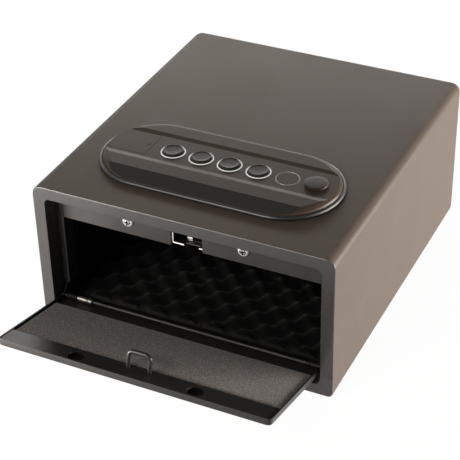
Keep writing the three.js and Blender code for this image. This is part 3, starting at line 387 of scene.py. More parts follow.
# White ring plastic with painted light: the glow makes the rings shine though they are no lamp.
RING_WITH_GLOW = Finish(
    "white_ring_painted_glow", "light_plastic", (0.80, 0.80, 0.78), (0.9, 0.9, 0.88), (0.16, 0.22),
    Grain.SMOOTH, scale=700.0, depth=0.00001, strength=0.05, coat=0.4, coat_roughness=0.1, glow=0.4,
)
GREY_RING = Finish(
    "grey_ring", "bright_plate", (0.42, 0.40, 0.38), (0.36, 0.34, 0.32), (0.28, 0.34),
    Grain.BRUSHED, scale=1600.0, depth=0.00001, strength=0.1, metallic=0.7,
)
RUBBER = Finish(
    "gasket_rubber", "black_rubber", (0.006, 0.006, 0.006), (0.01, 0.01, 0.01), (0.6, 0.75),
    Grain.MOULDED, scale=900.0, depth=0.00004, strength=0.25, specular=0.25,
)
WELL_PLASTIC = Finish(
    "well_plastic", "black_plastic", (0.016, 0.016, 0.016), (0.024, 0.024, 0.024), (0.5, 0.6),
    Grain.MOULDED, scale=1200.0, depth=0.00004, strength=0.25,
)
BOARD_RESIN = Finish(
    "green_resin", "board_resin", (0.012, 0.075, 0.03), (0.03, 0.12, 0.05), (0.35, 0.45),
    Grain.MOULDED, scale=500.0, depth=0.00003, strength=0.2,
)
BRASS = Finish(
    "plug_brass", "lock_brass", (0.62, 0.42, 0.14), (0.5, 0.33, 0.1), (0.22, 0.34),
    Grain.BRUSHED, scale=1400.0, depth=0.00002, strength=0.2, metallic=1.0,
)
CELL_WRAP = Finish(
    "cell_film", "cell_wrap", (0.02, 0.025, 0.03), (0.03, 0.036, 0.042), (0.2, 0.3),
    Grain.SMOOTH, scale=300.0, depth=0.00002, strength=0.1, coat=0.3,
)
# Painted reflection: the sloping window is the panel's plastic, painted darker and made glossier to
# stand for the dark surroundings it reflects.
WINDOW_GLOSS_SHADE = Finish(
    "window_gloss_painted_shade", "panel_plastic", (0.038, 0.031, 0.026), (0.048, 0.040, 0.034), (0.16, 0.22),
    Grain.SMOOTH, scale=500.0, depth=0.00001, strength=0.05, coat=0.3, coat_roughness=0.08,
)
# Painted shade: the bead round the panel is the panel's plastic, painted near black for the band of
# shade along its outer side, and made glossier.
BEAD_GLOSS_SHADE = Finish(
    "bead_gloss_painted_shade", "panel_plastic", (0.014, 0.012, 0.010), (0.018, 0.016, 0.014), (0.36, 0.42),
    Grain.SMOOTH, scale=500.0, depth=0.00001, strength=0.05, specular=1.0, coat=0.15,
)
# Painted shade: the cross recess in each screw head is the same plate, painted near black where shade
# falls in it.
RECESS_SHADE = Finish(
    "screw_recess_shade", "bright_plate", (0.02, 0.02, 0.02), (0.03, 0.03, 0.03), (0.5, 0.6),
    Grain.SMOOTH, scale=900.0, depth=0.00001, strength=0.05,
)
ROD_STEEL = Finish(
    "rod_steel", "plated_steel", (0.05, 0.048, 0.046), (0.032, 0.030, 0.029), (0.4, 0.52),
    Grain.BRUSHED, scale=1400.0, depth=0.00002, strength=0.2, metallic=0.5, speck_share=0.5,
)
SLEEVE_PLATE = Finish(
    "sleeve_plate", "bright_plate", (0.34, 0.32, 0.30), (0.24, 0.225, 0.21), (0.36, 0.46),
    Grain.BRUSHED, scale=1400.0, depth=0.00002, strength=0.2, metallic=0.9, speck_share=0.5,
)
# Bright plate of the screws; on the latch frame's front edges and tongue it is a painted highlight.
SCREW_PLATE_AND_HIGHLIGHT = Finish(
    "screw_plate_and_highlight", "bright_plate", (0.92, 0.91, 0.89), (0.86, 0.85, 0.83), (0.36, 0.44),
    Grain.BRUSHED, scale=1600.0, depth=0.00001, strength=0.1, metallic=0.3, speck_share=0.3,
)
LATCH_SHADE = Finish(
    "latch_shade", "bright_plate", (0.012, 0.012, 0.012), (0.018, 0.018, 0.018), (0.5, 0.6),
    Grain.BRUSHED, scale=1600.0, depth=0.00001, strength=0.1, speck_share=0.3, specular=0.2,
)
# Painted shade: the latch hook and its pin are plated steel, painted near black because they sit in
# shade inside the latch notch.
HOOK_SHADE_STEEL = Finish(
    "hook_painted_shade_steel", "plated_steel", (0.012, 0.012, 0.012), (0.02, 0.02, 0.02), (0.45, 0.55),
    Grain.BRUSHED, scale=1200.0, depth=0.00002, strength=0.2, speck_share=0.4, specular=0.3,
)
CELL_END = Finish(
    "cell_end", "cell_wrap", (0.50, 0.49, 0.47), (0.40, 0.39, 0.38), (0.26, 0.36),
    Grain.SMOOTH, scale=900.0, depth=0.00001, strength=0.05, metallic=1.0,
)


def extent(node: str, turn: Optional[Matrix] = None) -> tuple[Vector, Vector]:
    """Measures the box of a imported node.

    Args:
        node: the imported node.
        turn: a frame in the part's metres to measure in, or None for the part's own.

    Returns:
        The lowest and the highest corner, in millimetres.
    """
    back = turn.inverted() if turn else Matrix()
    points = [(back @ vert.co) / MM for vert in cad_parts[node].data.vertices]
    low = Vector([min(point[axis] for point in points) for axis in range(3)])
    high = Vector([max(point[axis] for point in points) for axis in range(3)])
    return low, high


def centre_of(low: Vector, high: Vector) -> Point:
    """The middle of a box as seen from above, at height 0."""
    return (low.x + high.x) / 2, (low.y + high.y) / 2, 0


def place(
    mesh: bpy.types.Mesh, name: str, finish: Finish, body: str, replaces: Sequence[str],
) -> bpy.types.Object:
    """Links a finished mesh as a piece of the safe.

    Args:
        mesh: the mesh, in the part's frame.
        name: the piece's name.
        finish: the finish of its whole surface.
        body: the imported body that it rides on.
        replaces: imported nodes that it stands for.

    Returns:
        The new object.
    """
    piece = linked(name, mesh)
    mesh.materials.clear()
    mesh.materials.append(finish.material())
    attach(piece, body)
    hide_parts(*replaces)
    LOG.info("%s: %d faces on %s", name, len(mesh.polygons), body)
    return piece


def shape(bm: bmesh.types.BMesh, name: str, smooth: float = 35.0) -> bpy.types.Mesh:
    """Turns a bmesh into a shaded mesh and frees it.

    Args:
        bm: the shape, in metres.
        name: the mesh's name.
        smooth: edges sharper than this angle, in degrees, stay sharp.

    Returns:
        The mesh.
    """
    for face in bm.faces:
        face.smooth = True
    mesh = as_mesh(bm, name)
    mesh.set_sharp_from_angle(angle=math.radians(smooth))
    return mesh


def settle(
    solid: bmesh.types.BMesh, name: str, finish: Finish, body: str, node: str, smooth: float = 35.0,
) -> bpy.types.Object:
    """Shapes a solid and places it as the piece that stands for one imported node.

    Args:
        solid: the shape, in metres.
        name: the piece's name.
        finish: the finish of its whole surface.
        body: the body that it rides on.
        node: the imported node.
        smooth: edges sharper than this angle, in degrees, stay sharp.

    Returns:
        The new object.
    """
    return place(shape(solid, name, smooth), name, finish, body, [node])


def even_normals(piece: bpy.types.Object) -> None:
    """Keeps the flats of a bevelled piece flat by weighing normals by area.

    Args:
        piece: the piece.
    """
    weigh = piece.modifiers.new("even_normals", "WEIGHTED_NORMAL")
    weigh.keep_sharp = True
    weigh.weight = FLAT_WEIGHT


def refined(node: str, bevel: float, angle: float) -> bmesh.types.BMesh:
    """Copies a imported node, merges it and rounds its edges.

    Args:
        node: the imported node.
        bevel: the rounding's width in millimetres.
        angle: edges sharper than this, in degrees, are rounded.

    Returns:
        The rounded shape.
    """
    bm = bmesh.new()
    bm.from_mesh(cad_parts[node].data)
    bmesh.ops.remove_doubles(bm, verts=bm.verts, dist=2 * MERGE)
    bmesh.ops.dissolve_limit(bm, angle_limit=FLAT, verts=bm.verts, edges=bm.edges)
    limit = math.radians(angle)
    sharp = [edge for edge in bm.edges if edge.is_manifold and edge.calc_face_angle() > limit]
    bmesh.ops.bevel(
        bm, geom=sharp, offset=bevel * MM, offset_type="OFFSET", segments=BEVEL_STEPS, profile=0.5,
        affect="EDGES", clamp_overlap=True, loop_slide=True, material=-1,
    )
    return bm


def dress(node: str, finish: Finish, body: str, bevel: float, angle: float = 30.0) -> bpy.types.Object:
    """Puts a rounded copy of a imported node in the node's place.

    Args:
        node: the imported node.
        finish: its finish.
        body: the body that it rides on.
        bevel: the rounding's width in millimetres.
        angle: edges sharper than this, in degrees, are rounded.

    Returns:
        The new object.
    """
    piece = settle(refined(node, bevel, angle), node + "_finished", finish, body, node)
    even_normals(piece)
    return piece


Row = tuple[str, Finish, str, float]


def dress_each(rows: Iterable[Row]) -> None:
    """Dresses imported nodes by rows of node, finish, body and rounding in millimetres."""
    for node, finish, body, bevel in rows:
        dress(node, finish, body, bevel)


def paint(piece: bpy.types.Object, finish: Finish, chosen: Callable[[Vector, Vector], bool]) -> None:
    """Gives chosen faces of a piece a second finish.

    Args:
        piece: the piece.
        finish: the second finish.
        chosen: tells from a face's middle, in millimetres, and its normal whether it is meant.
    """
    mesh = piece.data
    mesh.materials.append(finish.material())
    last = len(mesh.materials) - 1
    count = 0
    for face in mesh.polygons:
        if chosen(face.center / MM, face.normal):
            face.material_index = last
            count += 1
    LOG.info("%s: %d faces in %s", piece.name, count, finish.name)


def spun(profile: Profile, centre: Point, steps: int, axis: Point = (0, 0, 1)) -> bmesh.types.BMesh:
    """Turns a profile about an axis into a closed solid.

    Args:
        profile: radius and height along the axis, in millimetres; it ends on the axis or on itself.
        centre: the point of height 0 on the axis, in millimetres.
        steps: the steps of the full turn.
        axis: the direction of the axis.

    Returns:
        The solid, in metres.
    """
    bm = bmesh.new()
    verts = [bm.verts.new((radius * MM, 0, height * MM)) for radius, height in profile]
    edges = [bm.edges.new(pair) for pair in zip(verts, verts[1:])]
    if profile[0][0] > 0:
        edges.append(bm.edges.new((verts[-1], verts[0])))
    bmesh.ops.spin(
        bm, geom=verts + edges, angle=math.tau, steps=steps, use_merge=True,
        axis=(0, 0, 1), cent=(0, 0, 0),
    )
    bmesh.ops.remove_doubles(bm, verts=bm.verts, dist=MERGE)
    bmesh.ops.recalc_face_normals(bm, faces=bm.faces)
    turn = Vector((0, 0, 1)).rotation_difference(Vector(axis)).to_matrix().to_4x4()
    bmesh.ops.transform(bm, matrix=Matrix.Translation(Vector(centre) * MM) @ turn, verts=bm.verts)
    return bm


def tube(points: Sequence[Vector], radius: float, sides: int, name: str) -> bpy.types.Mesh:
    """Runs a round tube with flat ends along points.

    Args:
        points: the centre line in metres.
        radius: the tube's radius in millimetres.
        sides: the resolution of a quarter of its round.
        name: the mesh's name.

    Returns:
        The tube's mesh, in metres.
    """
    curve = bpy.data.curves.new(name + "_line", "CURVE")
    curve.dimensions = "3D"
    curve.bevel_depth = radius * MM
    curve.bevel_resolution = sides
    curve.use_fill_caps = True
    spline = curve.splines.new("POLY")
    spline.points.add(len(points) - 1)
    for target, point in zip(spline.points, points):
        target.co = (*point, 1.0)
    carrier = linked(name + "_line", curve)
    raw = evaluated(carrier)
    bpy.data.objects.remove(carrier)
    bpy.data.curves.remove(curve)
    bm = bmesh.new()
    bm.from_mesh(raw)
    bpy.data.meshes.remove(raw)
    bmesh.ops.remove_doubles(bm, verts=bm.verts, dist=MERGE)
    bmesh.ops.recalc_face_normals(bm, faces=bm.faces)
    return shape(bm, name, TUBE_SMOOTH)


def slab(low: Point, high: Point, bevel: float) -> bmesh.types.BMesh:
    """Makes a box between two corners, in millimetres, with rounded edges.

    Args:
        low: the lowest corner.
        high: the highest corner.
        bevel: the rounding's width in millimetres.

    Returns:
        The box, in metres.
    """
    bm = bmesh.new()
    bmesh.ops.create_cube(bm, size=1.0)
    size = Vector(high) - Vector(low)
    middle = (Vector(high) + Vector(low)) / 2
    bmesh.ops.scale(bm, vec=size * MM, verts=bm.verts)
    bmesh.ops.translate(bm, vec=middle * MM, verts=bm.verts)
    if bevel > 0:
        bmesh.ops.bevel(
            bm, geom=bm.edges[:], offset=bevel * MM, offset_type="OFFSET",
            segments=SLAB_STEPS, profile=0.5, affect="EDGES", clamp_overlap=True, material=-1,
        )
    return bm


def closed_grid(across: int, along: int) -> tuple[bmesh.types.BMesh, set[bmesh.types.BMVert]]:
    """Makes a grid with walls and a flat bottom along its rim.

    Args:
        across: the grid's steps across.
        along: the grid's steps along.

    Returns:
        The shape, one unit wide and long about the origin, and the bottom's corners.
    """
    bm = bmesh.new()
    bmesh.ops.create_grid(bm, x_segments=across, y_segments=along, size=0.5)
    rim = [edge for edge in bm.edges if edge.is_boundary]
    lowered = bmesh.ops.extrude_edge_only(bm, edges=rim)["geom"]
    skirt = {part for part in lowered if isinstance(part, bmesh.types.BMVert)}
    mouth = [part for part in lowered if isinstance(part, bmesh.types.BMEdge) and part.is_boundary]
    bmesh.ops.contextual_create(bm, geom=mouth)
    return bm, skirt


def add_shape(first: bmesh.types.BMesh, second: bmesh.types.BMesh) -> None:
    """Puts a second, separate shape into the first one and frees it.

    Args:
        first: the shape that grows.
        second: the shape that goes into it.
    """
    mesh = as_mesh(second, "part")
    first.from_mesh(mesh)
    bpy.data.meshes.remove(mesh)


@dataclass
class Body:
    """Steel body with its back panel and door stop strips. Lengths in millimetres."""

    front: float = -145.0
    height: float = 128.0
    half_width: float = 127.0
    return_depth: float = 15.4
    skin: float = 0.06
    edge: float = 0.35
    edge_angle: float = 35.0
    strip_edge: float = 0.2
    fold_reach: float = 3.0
    fold_tilt: float = 0.2
    anchor: tuple[float, float] = (87.0, 85.0)
    plug: Profile = (
        (0, 0.7), (1.6, 0.7), (2.2, 0.4), (3.3, 0.4), (3.6, 0.7),
        (3.6, 1.85), (5.6, 1.85), (5.95, 2.1), (5.6, 2.45), (0, 2.6),
    )
    plug_steps: int = 32

    def on_rim(self, middle: Vector, normal: Vector) -> bool:
        """Tells whether a face belongs to the front rim or its return.

        Args:
            middle: the face's middle.
            normal: its direction, which makes no difference here.

        Returns:
            True for a face of the rim.
        """
        across = abs(middle.x) < self.half_width - self.skin
        between = self.skin < middle.z < self.height - self.skin
        return across and between and middle.y < self.front + self.return_depth

    def on_front_fold(self, middle: Vector, normal: Vector) -> bool:
        """Tells whether a face belongs to the rounding between the lid and the front rim."""
        near = middle.y < self.front + self.fold_reach and middle.z > self.height - self.fold_reach
        return near and normal.y < -self.fold_tilt and normal.z > self.fold_tilt

    def build(self) -> None:
        """Dresses the sheet parts and makes the anchor plugs."""
        shell = dress("outer_body", BODY_COAT, "safe_body", self.edge, angle=self.edge_angle)
        # The rim and its return get a darker, greyer copy of the body coat as painted shade.
        paint(shell, RIM_SHADE_COAT, self.on_rim)
        # The fold between the lid and the rim gets a lighter copy of the body coat as a painted
        # highlight.
        paint(shell, FOLD_HIGHLIGHT_COAT, self.on_front_fold)
        dress("back_panel", BODY_COAT, "safe_body", self.strip_edge)
        for side in ("left", "right"):
            dress(f"door_stop_{side}", INNER_COAT, "safe_body", self.strip_edge)
        for index, (across, along) in enumerate(((-1, -1), (1, -1), (-1, 1), (1, 1)), start=1):
            node = f"anchor_plug_{index}"
            place_at = (across * self.anchor[0], along * self.anchor[1], 0)
            solid = spun(self.plug, place_at, self.plug_steps)
            settle(solid, node + "_turned", RUBBER, "safe_body", node)


@dataclass
class Lining:
    """Foam inside the body. Lengths in millimetres."""

    half: float = 116.9
    floor_span: Span = (-115.0, 128.1)
    floor_low: float = 2.9
    back_span: Span = (4.0, 118.2)
    back_face: float = 141.4
    cell: float = 13.0
    fine: int = 5
    base: float = 5.0
    bump: float = 8.0
    crown: float = 1.15
    rim_drop: float = 1.2
    rim_share: float = 0.22
    uneven: float = 0.25
    uneven_rate: tuple[float, float] = (31.0, 29.0)
    uneven_level: float = 0.5
    egg_smooth: float = 60.0
    side_wall: float = 8.0
    side_half: float = 117.2
    side_span: Span = (-127.9, 137.2)
    side_round: float = 1.6
    side_split: float = 40.0
    side_cuts: int = 14
    side_rate: float = 25.0
    side_smooth: float = 50.0

    def convoluted(
        self, span_u: Span, span_v: Span, put: Callable[[float, float, float], Vector],
    ) -> bmesh.types.BMesh:
        """Makes a slab whose face swells and sinks from cell to cell.

        Args:
            span_u: start and end across.
            span_v: start and end along.
            put: turns across, along and height into a point in millimetres.

        Returns:
            The closed slab, in metres.
        """
        wide, long = span_u[1] - span_u[0], span_v[1] - span_v[0]
        across, along = round(wide / self.cell), round(long / self.cell)
        rate_u, rate_v = self.uneven_rate
        bm, skirt = closed_grid(across * self.fine, along * self.fine)
        for vert in bm.verts:
            u, v = vert.co.x + 0.5, vert.co.y + 0.5
            swell = 0.5 + 0.5 * math.cos(math.pi * u * across) * math.cos(math.pi * v * along)
            inset = min(u, 1 - u, v, 1 - v) * across / self.rim_share
            drop = self.rim_drop * max(0.0, 1 - inset)
            jitter = self.uneven * noise.noise(Vector((u * rate_u, v * rate_v, self.uneven_level)))
            face = self.base + self.bump * swell ** self.crown - drop + jitter
            height = 0.0 if vert in skirt else face
            vert.co = put(span_u[0] + wide * u, span_v[0] + long * v, height) * MM
        bmesh.ops.recalc_face_normals(bm, faces=bm.faces)
        return bm

    def soft_slab(self, low: Point, high: Point, seed: float) -> bmesh.types.BMesh:
        """Makes a foam board with soft corners and a slightly uneven face.

        Args:
            low: the lowest corner.
            high: the highest corner.
            seed: start of the unevenness.

        Returns:
            The board, in metres.
        """
        bm = slab(low, high, self.side_round)
        split = [edge for edge in bm.edges if edge.calc_length() > self.side_split * MM]
        bmesh.ops.subdivide_edges(bm, edges=split, cuts=self.side_cuts, use_grid_fill=True)
        for vert in bm.verts:
            wave = abs(noise.noise(vert.co * self.side_rate + Vector((seed, 0, 0))))
            vert.co.x -= math.copysign(self.uneven * MM, vert.co.x) * wave
        return bm

    def build(self) -> None:
        """Makes the floor, back and side foams in place of the plain solids."""
        across = (-self.half, self.half)
        floor = self.convoluted(
            across, self.floor_span, lambda u, v, height: Vector((u, v, self.floor_low + height)),
        )
        back = self.convoluted(
            across, self.back_span, lambda u, v, height: Vector((u, self.back_face - height, v)),
        )
        # The foams are black, darkened further as painted shade.
        for label, solid in (("floor", floor), ("back", back)):
            foam = settle(
                solid, label + "_egg_foam", BLACK_FOAM_AND_SHADE, "safe_body", label + "_foam", self.egg_smooth,
            )
        for label, side in (("left", -1), ("right", 1)):
            near, far = sorted((side * self.side_half, side * (self.side_half + self.side_wall)))
            low = (near, self.side_span[0], self.back_span[0])
            high = (far, self.side_span[1], self.back_span[1])
            foam = settle(
                self.soft_slab(low, high, side), label + "_side_foam", BLACK_FOAM_AND_SHADE, "safe_body",
                label + "_foam", self.side_smooth,
            )


@dataclass
class DoorUnit:
    """Drop-down door with its pad, edge channel, wire loop and hinge. Lengths in millimetres."""

    axis_y: float = -133.8
    axis_z: float = 18.0
    angle: float = 76.6
    edge: float = 0.3
    channel_edge: float = 0.25
    edge_angle: float = 40.0
    pad_steps: tuple[int, int] = (110, 34)
    pad_roll: float = 0.9
    pad_soft: float = 1.1
    pad_wave: float = 0.06
    pad_rate: float = 0.05
    pad_level: float = 3.0
    pad_smooth: float = 60.0
    loop_bend: float = 4.2
    bend_steps: int = 10
    wire: float = 1.75
    wire_sides: int = 5
    coil: float = 2.2
    coil_wire: float = 0.5
    coil_sides: int = 3
    coil_turns: int = 5
    coil_steps: int = 24
    coil_pitch: float = 2.06
    coil_start: float = 112.1
    coil_leg: float = 3.0
    rod: float = 1.5
    rod_steps: int = 32
    rod_head: float = 2.5
    rod_head_long: float = 1.1
    rod_head_flat: float = 0.6
    rod_head_soft: float = 0.4
    collar_insets: tuple[float, float] = (26.4, 14.4)
    collar_long: float = 1.0
    collar_soft: float = 0.2
    sleeve: Profile = (
        (1.75, -101.1), (2.2, -101.1), (2.4, -100.9), (2.4, -92.3), (2.0, -92.1),
        (2.0, -91.5), (2.4, -91.3), (2.4, -88.4), (2.2, -88.2), (1.75, -88.2),
    )
    sleeve_steps: int = 40
    cup_x: float = 50.0
    cup_inset: float = 9.0
    cup_radius: float = 6.7
    cup_lip: float = 0.35

    @property
    def frame(self) -> Matrix:
        """The open door's place: from its own lengths to the part's metres."""
        origin = Matrix.Translation(Vector((0, self.axis_y, self.axis_z)) * MM)
        return origin @ Matrix.Rotation(math.radians(self.angle), 4, "X")

    def pad(self) -> bmesh.types.BMesh:
        """Makes the crowned foam pad of the door.

        Returns:
            The pad, in metres.
        """
        bm, skirt = closed_grid(*self.pad_steps)
        low, high = extent("door_pad", self.frame)
        wide, long = high.x - low.x, high.z - low.z
        for vert in bm.verts:
            u, v = vert.co.x * wide, (vert.co.y + 0.5) * long
            inset = min(wide / 2 - abs(u), v, long - v)
            rolled = self.pad_roll * math.exp(-inset / self.pad_soft)
            swell = noise.noise(Vector((u * self.pad_rate, v * self.pad_rate, self.pad_level)))
            height = low.y if vert in skirt else high.y - rolled + self.pad_wave * swell
            vert.co = Vector((u, height, low.z + v)) * MM
        bmesh.ops.recalc_face_normals(bm, faces=bm.faces)
        bmesh.ops.transform(bm, matrix=self.frame, verts=bm.verts)
        return bm

    def loop_line(self) -> list[Vector]:
        """Gives the centre line of the wire loop.

        Returns:
            Its points, in the part's metres.
        """
        low, high = extent("striker_loop", self.frame)
        half, top, along = high.x - self.wire, high.y - self.wire, (low.z + high.z) / 2
        line = [Vector((-half, low.y, along))]
        for side, start in ((-1, math.pi), (1, math.pi / 2)):
            centre = Vector((side * (half - self.loop_bend), top - self.loop_bend, along))
            for step in range(self.bend_steps + 1):
                turn = start - (math.pi / 2) * step / self.bend_steps
                line.append(centre + self.loop_bend * Vector((math.cos(turn), math.sin(turn), 0)))
        line.append(Vector((half, low.y, along)))
        return [self.frame @ (point * MM) for point in line]

    def coil_line(self, side: int) -> list[Vector]:
        """Gives the centre line of one hinge spring.

        Args:
            side: -1 at the left and 1 at the right.

        Returns:
            Its points, in the part's metres.
        """
        base = Vector((side * self.coil_start, self.axis_y, self.axis_z))
        line = [base + Vector((0, self.coil_leg, -self.coil))]
        steps = self.coil_steps * self.coil_turns
        for step in range(steps + 1):
            turn = math.tau * self.coil_turns * step / steps
            run = self.coil_pitch * self.coil_turns * step / steps
            round_it = self.coil * Vector((0, math.sin(turn), -math.cos(turn)))
            line.append(base + round_it - Vector((side * run, 0, 0)))
        line.append(line[-1] + Vector((0, self.coil_leg, 0)))
        return [point * MM for point in line]

    def in_cup(self, middle: Vector, tip: float, bottom: float) -> bool:
        """Tells whether a face lies in one of the round cups of the edge channel.

        Args:
            middle: the face's middle, in the door's own lengths.
            tip: how far the door reaches from its axis.
            bottom: the height in the door under which a face belongs to a cup.

        Returns:
            True for a face of a cup.
        """
        across = math.hypot(abs(middle.x) - self.cup_x, middle.z - tip + self.cup_inset)
        return across < self.cup_radius and middle.y < bottom

    def rod_profile(self) -> list[tuple[float, float]]:
        """Gives the radii of the hinge rod along its length, with its heads and collars.

        Returns:
            Pairs of radius and place along the rod, in millimetres.
        """
        rod, head, soft = self.rod, self.rod_head, self.collar_soft
        half, end = extent("door_panel")[1].x, extent("hinge_rod")[1].x
        flat, turn, neck = head - self.rod_head_flat, end - self.rod_head_soft, end - self.rod_head_long
        profile = [(0, -end), (flat, -end), (head, -turn), (head, -neck), (rod, -neck)]
        for start in (-half + self.collar_insets[0], half - self.collar_insets[1]):
            stop = start + self.collar_long
            profile += [
                (rod, start), (head - soft, start), (head, start + soft),
                (head, stop - soft), (head - soft, stop), (rod, stop),
            ]
        return profile + [(rod, neck), (head, neck), (head, turn), (flat, end), (0, end)]

    def build(self) -> None:
        """Makes the door, its pieces and the hinge."""
        dress("door_panel", DOOR_COAT, "door", self.edge, angle=self.edge_angle)
        channel = dress(
            "door_edge_channel", DOOR_COAT, "door", self.channel_edge, angle=self.edge_angle,
        )
        back, tip = self.frame.inverted(), extent("door_panel", self.frame)[1].z
        bottom = extent("door_edge_channel", self.frame)[1].y - self.cup_lip
        paint(channel, CUP_SHADE, lambda middle, _: self.in_cup(back @ (middle * MM) / MM, tip, bottom))
        foam = settle(self.pad(), "door_foam_pad", PAD_FOAM, "door", "door_pad", self.pad_smooth)
        loop = tube(self.loop_line(), self.wire, self.wire_sides, "wire_loop")
        place(loop, "wire_loop", BLACK_STEEL, "door", ["striker_loop"])
        for label, side in (("left", -1), ("right", 1)):
            name = f"torsion_spring_{label}"
            coil = tube(self.coil_line(side), self.coil_wire, self.coil_sides, name)
            place(coil, name, ROD_STEEL, "safe_body", [f"hinge_spring_{label}"])
        centre, along = (0, self.axis_y, self.axis_z), (1, 0, 0)
        sleeve = spun(self.sleeve, centre, self.sleeve_steps, along)
        settle(sleeve, "hinge_sleeve_turned", SLEEVE_PLATE, "safe_body", "hinge_sleeve")
        rod = spun(self.rod_profile(), centre, self.rod_steps, along)
        settle(rod, "hinge_rod_turned", ROD_STEEL, "safe_body", "hinge_rod")


@dataclass
class LockUnit:
    """Lock cover, latch and key override. Lengths in millimetres."""

    cover_edge: float = 0.3
    latch_edge: float = 0.25
    edge_angle: float = 40.0
    screw_back: float = -129.7
    screw_profile: Profile = (
        (0, 2.3), (1.6, 2.25), (3.0, 1.95), (4.0, 1.3), (4.45, 0.5), (4.5, 0.0),
        (2.1, 0.0), (2.1, -5.2), (1.7, -5.6), (0, -5.6),
    )
    screw_steps: int = 48
    screw_smooth: float = 30.0
    cross_point: Profile = ((0, -1.0), (1.5, 3.0), (0, 3.0))
    cross_steps: int = 24
    cross_long: float = 5.4
    cross_wide: float = 1.3
    cross_span: Span = (3.5, 0.4)
    recess_reach: float = 2.9
    recess_span: Span = (2.1, 0.3)
    latch_front: float = -126.5
    tongue_right: float = -0.6
    facing_front: float = -0.5
    plain: tuple[Row, ...] = (
        # The hook and its pin are painted near black as painted shade.
        ("hook_pin", HOOK_SHADE_STEEL, "safe_body", 0.2),
        ("latch_hook", HOOK_SHADE_STEEL, "latch_hook", 0.3),
        ("lock_bar", ZINC_PLATE, "lock_bar", 0.2),
        ("solenoid_plunger", BRIGHT_PLATE, "lock_bar", 0.3),
        ("solenoid", ZINC_PLATE, "safe_body", 0.4),
        ("bar_guide", ZINC_PLATE, "safe_body", 0.15),
        ("key_lock_body", ZINC_PLATE, "safe_body", 0.3),
        ("key_lock_nut", ZINC_PLATE, "safe_body", 0.3),
        ("key_plug", BRASS, "key", 0.2),
        ("key_cam", ZINC_PLATE, "key", 0.2),
    )

    def cutters(self, x: float, z: float) -> list[bmesh.types.BMesh]:
        """Makes the point and the two bars that cut a cross into a screw's head.

        Args:
            x: the screw's place across the safe.
            z: its height.

        Returns:
            The cutters, in metres.
        """
        long, wide = self.cross_long, self.cross_wide
        made = [spun(self.cross_point, (x, self.screw_back, z), self.cross_steps, (0, -1, 0))]
        for broad, tall in ((long, wide), (wide, long)):
            low = (x - broad / 2, self.screw_back - self.cross_span[0], z - tall / 2)
            high = (x + broad / 2, self.screw_back - self.cross_span[1], z + tall / 2)
            made.append(slab(low, high, 0))
        return made

    def screw(self, x: float, z: float) -> bpy.types.Mesh:
        """Makes a domed cross-head screw with its shank.

        Args:
            x: its place across the safe.
            z: its height.

        Returns:
            The mesh, in metres.
        """
        head = spun(self.screw_profile, (x, self.screw_back, z), self.screw_steps, (0, -1, 0))
        carrier = linked("screw", shape(head, f"cover_screw_{x:.0f}", self.screw_smooth))
        for cutter in self.cutters(x, z):
            tool = linked("cross", as_mesh(cutter, "cross"))
            recess = carrier.modifiers.new("recess", "BOOLEAN")
            recess.operation = "DIFFERENCE"
            recess.solver = "EXACT"
            recess.object = tool
            fresh = evaluated(carrier)
            carrier.modifiers.clear()
            carrier.data = fresh
            bpy.data.objects.remove(tool)
        result = carrier.data
        bpy.data.objects.remove(carrier)
        result.set_sharp_from_angle(angle=math.radians(self.screw_smooth))
        return result

    def in_recess(self, middle: Vector) -> bool:
        """Tells whether a face lies in a screw's cross, by its middle from the screw's axis."""
        deep, shallow = (self.screw_back - reach for reach in self.recess_span)
        return deep < middle.y < shallow and math.hypot(middle.x, middle.z) < self.recess_reach

    def on_latch_edge(self, middle: Vector, normal: Vector) -> bool:
        """Tells whether a face is a front-facing edge of the latch frame or of its bent tongue, which
        gets a painted highlight.
        """
        highlit = middle.y < self.latch_front or middle.x < self.tongue_right
        return highlit and normal.y < self.facing_front

    def build(self) -> None:
        """Dresses the cover, the latch and the key lock."""
        dress("lock_cover", COVER_COAT, "safe_body", self.cover_edge, angle=self.edge_angle)
        for label in ("left", "right"):
            node, name = f"cover_screw_{label}", f"cross_screw_{label}"
            low, high = extent(node)
            x, z = (low.x + high.x) / 2, (low.z + high.z) / 2
            axis = Vector((x, 0, z))
            piece = place(self.screw(x, z), name, SCREW_PLATE_AND_HIGHLIGHT, "safe_body", [node])
            # The cross recess gets near black painted shade.
            paint(piece, RECESS_SHADE, lambda middle, _: self.in_recess(middle - axis))
        bm = refined("latch_frame", self.latch_edge, angle=self.edge_angle)
        bmesh.ops.bisect_plane(
            bm, geom=bm.verts[:] + bm.edges[:] + bm.faces[:],
            plane_co=(self.tongue_right * MM, 0, 0), plane_no=(1, 0, 0),
        )
        # The latch frame is painted near black as painted shade, and its front-facing edges and bent
        # tongue get a bright painted highlight.
        latch = settle(bm, "latch_plate", LATCH_SHADE, "safe_body", "latch_frame")
        even_normals(latch)
        paint(latch, SCREW_PLATE_AND_HIGHLIGHT, self.on_latch_edge)
        dress_each(self.plain)


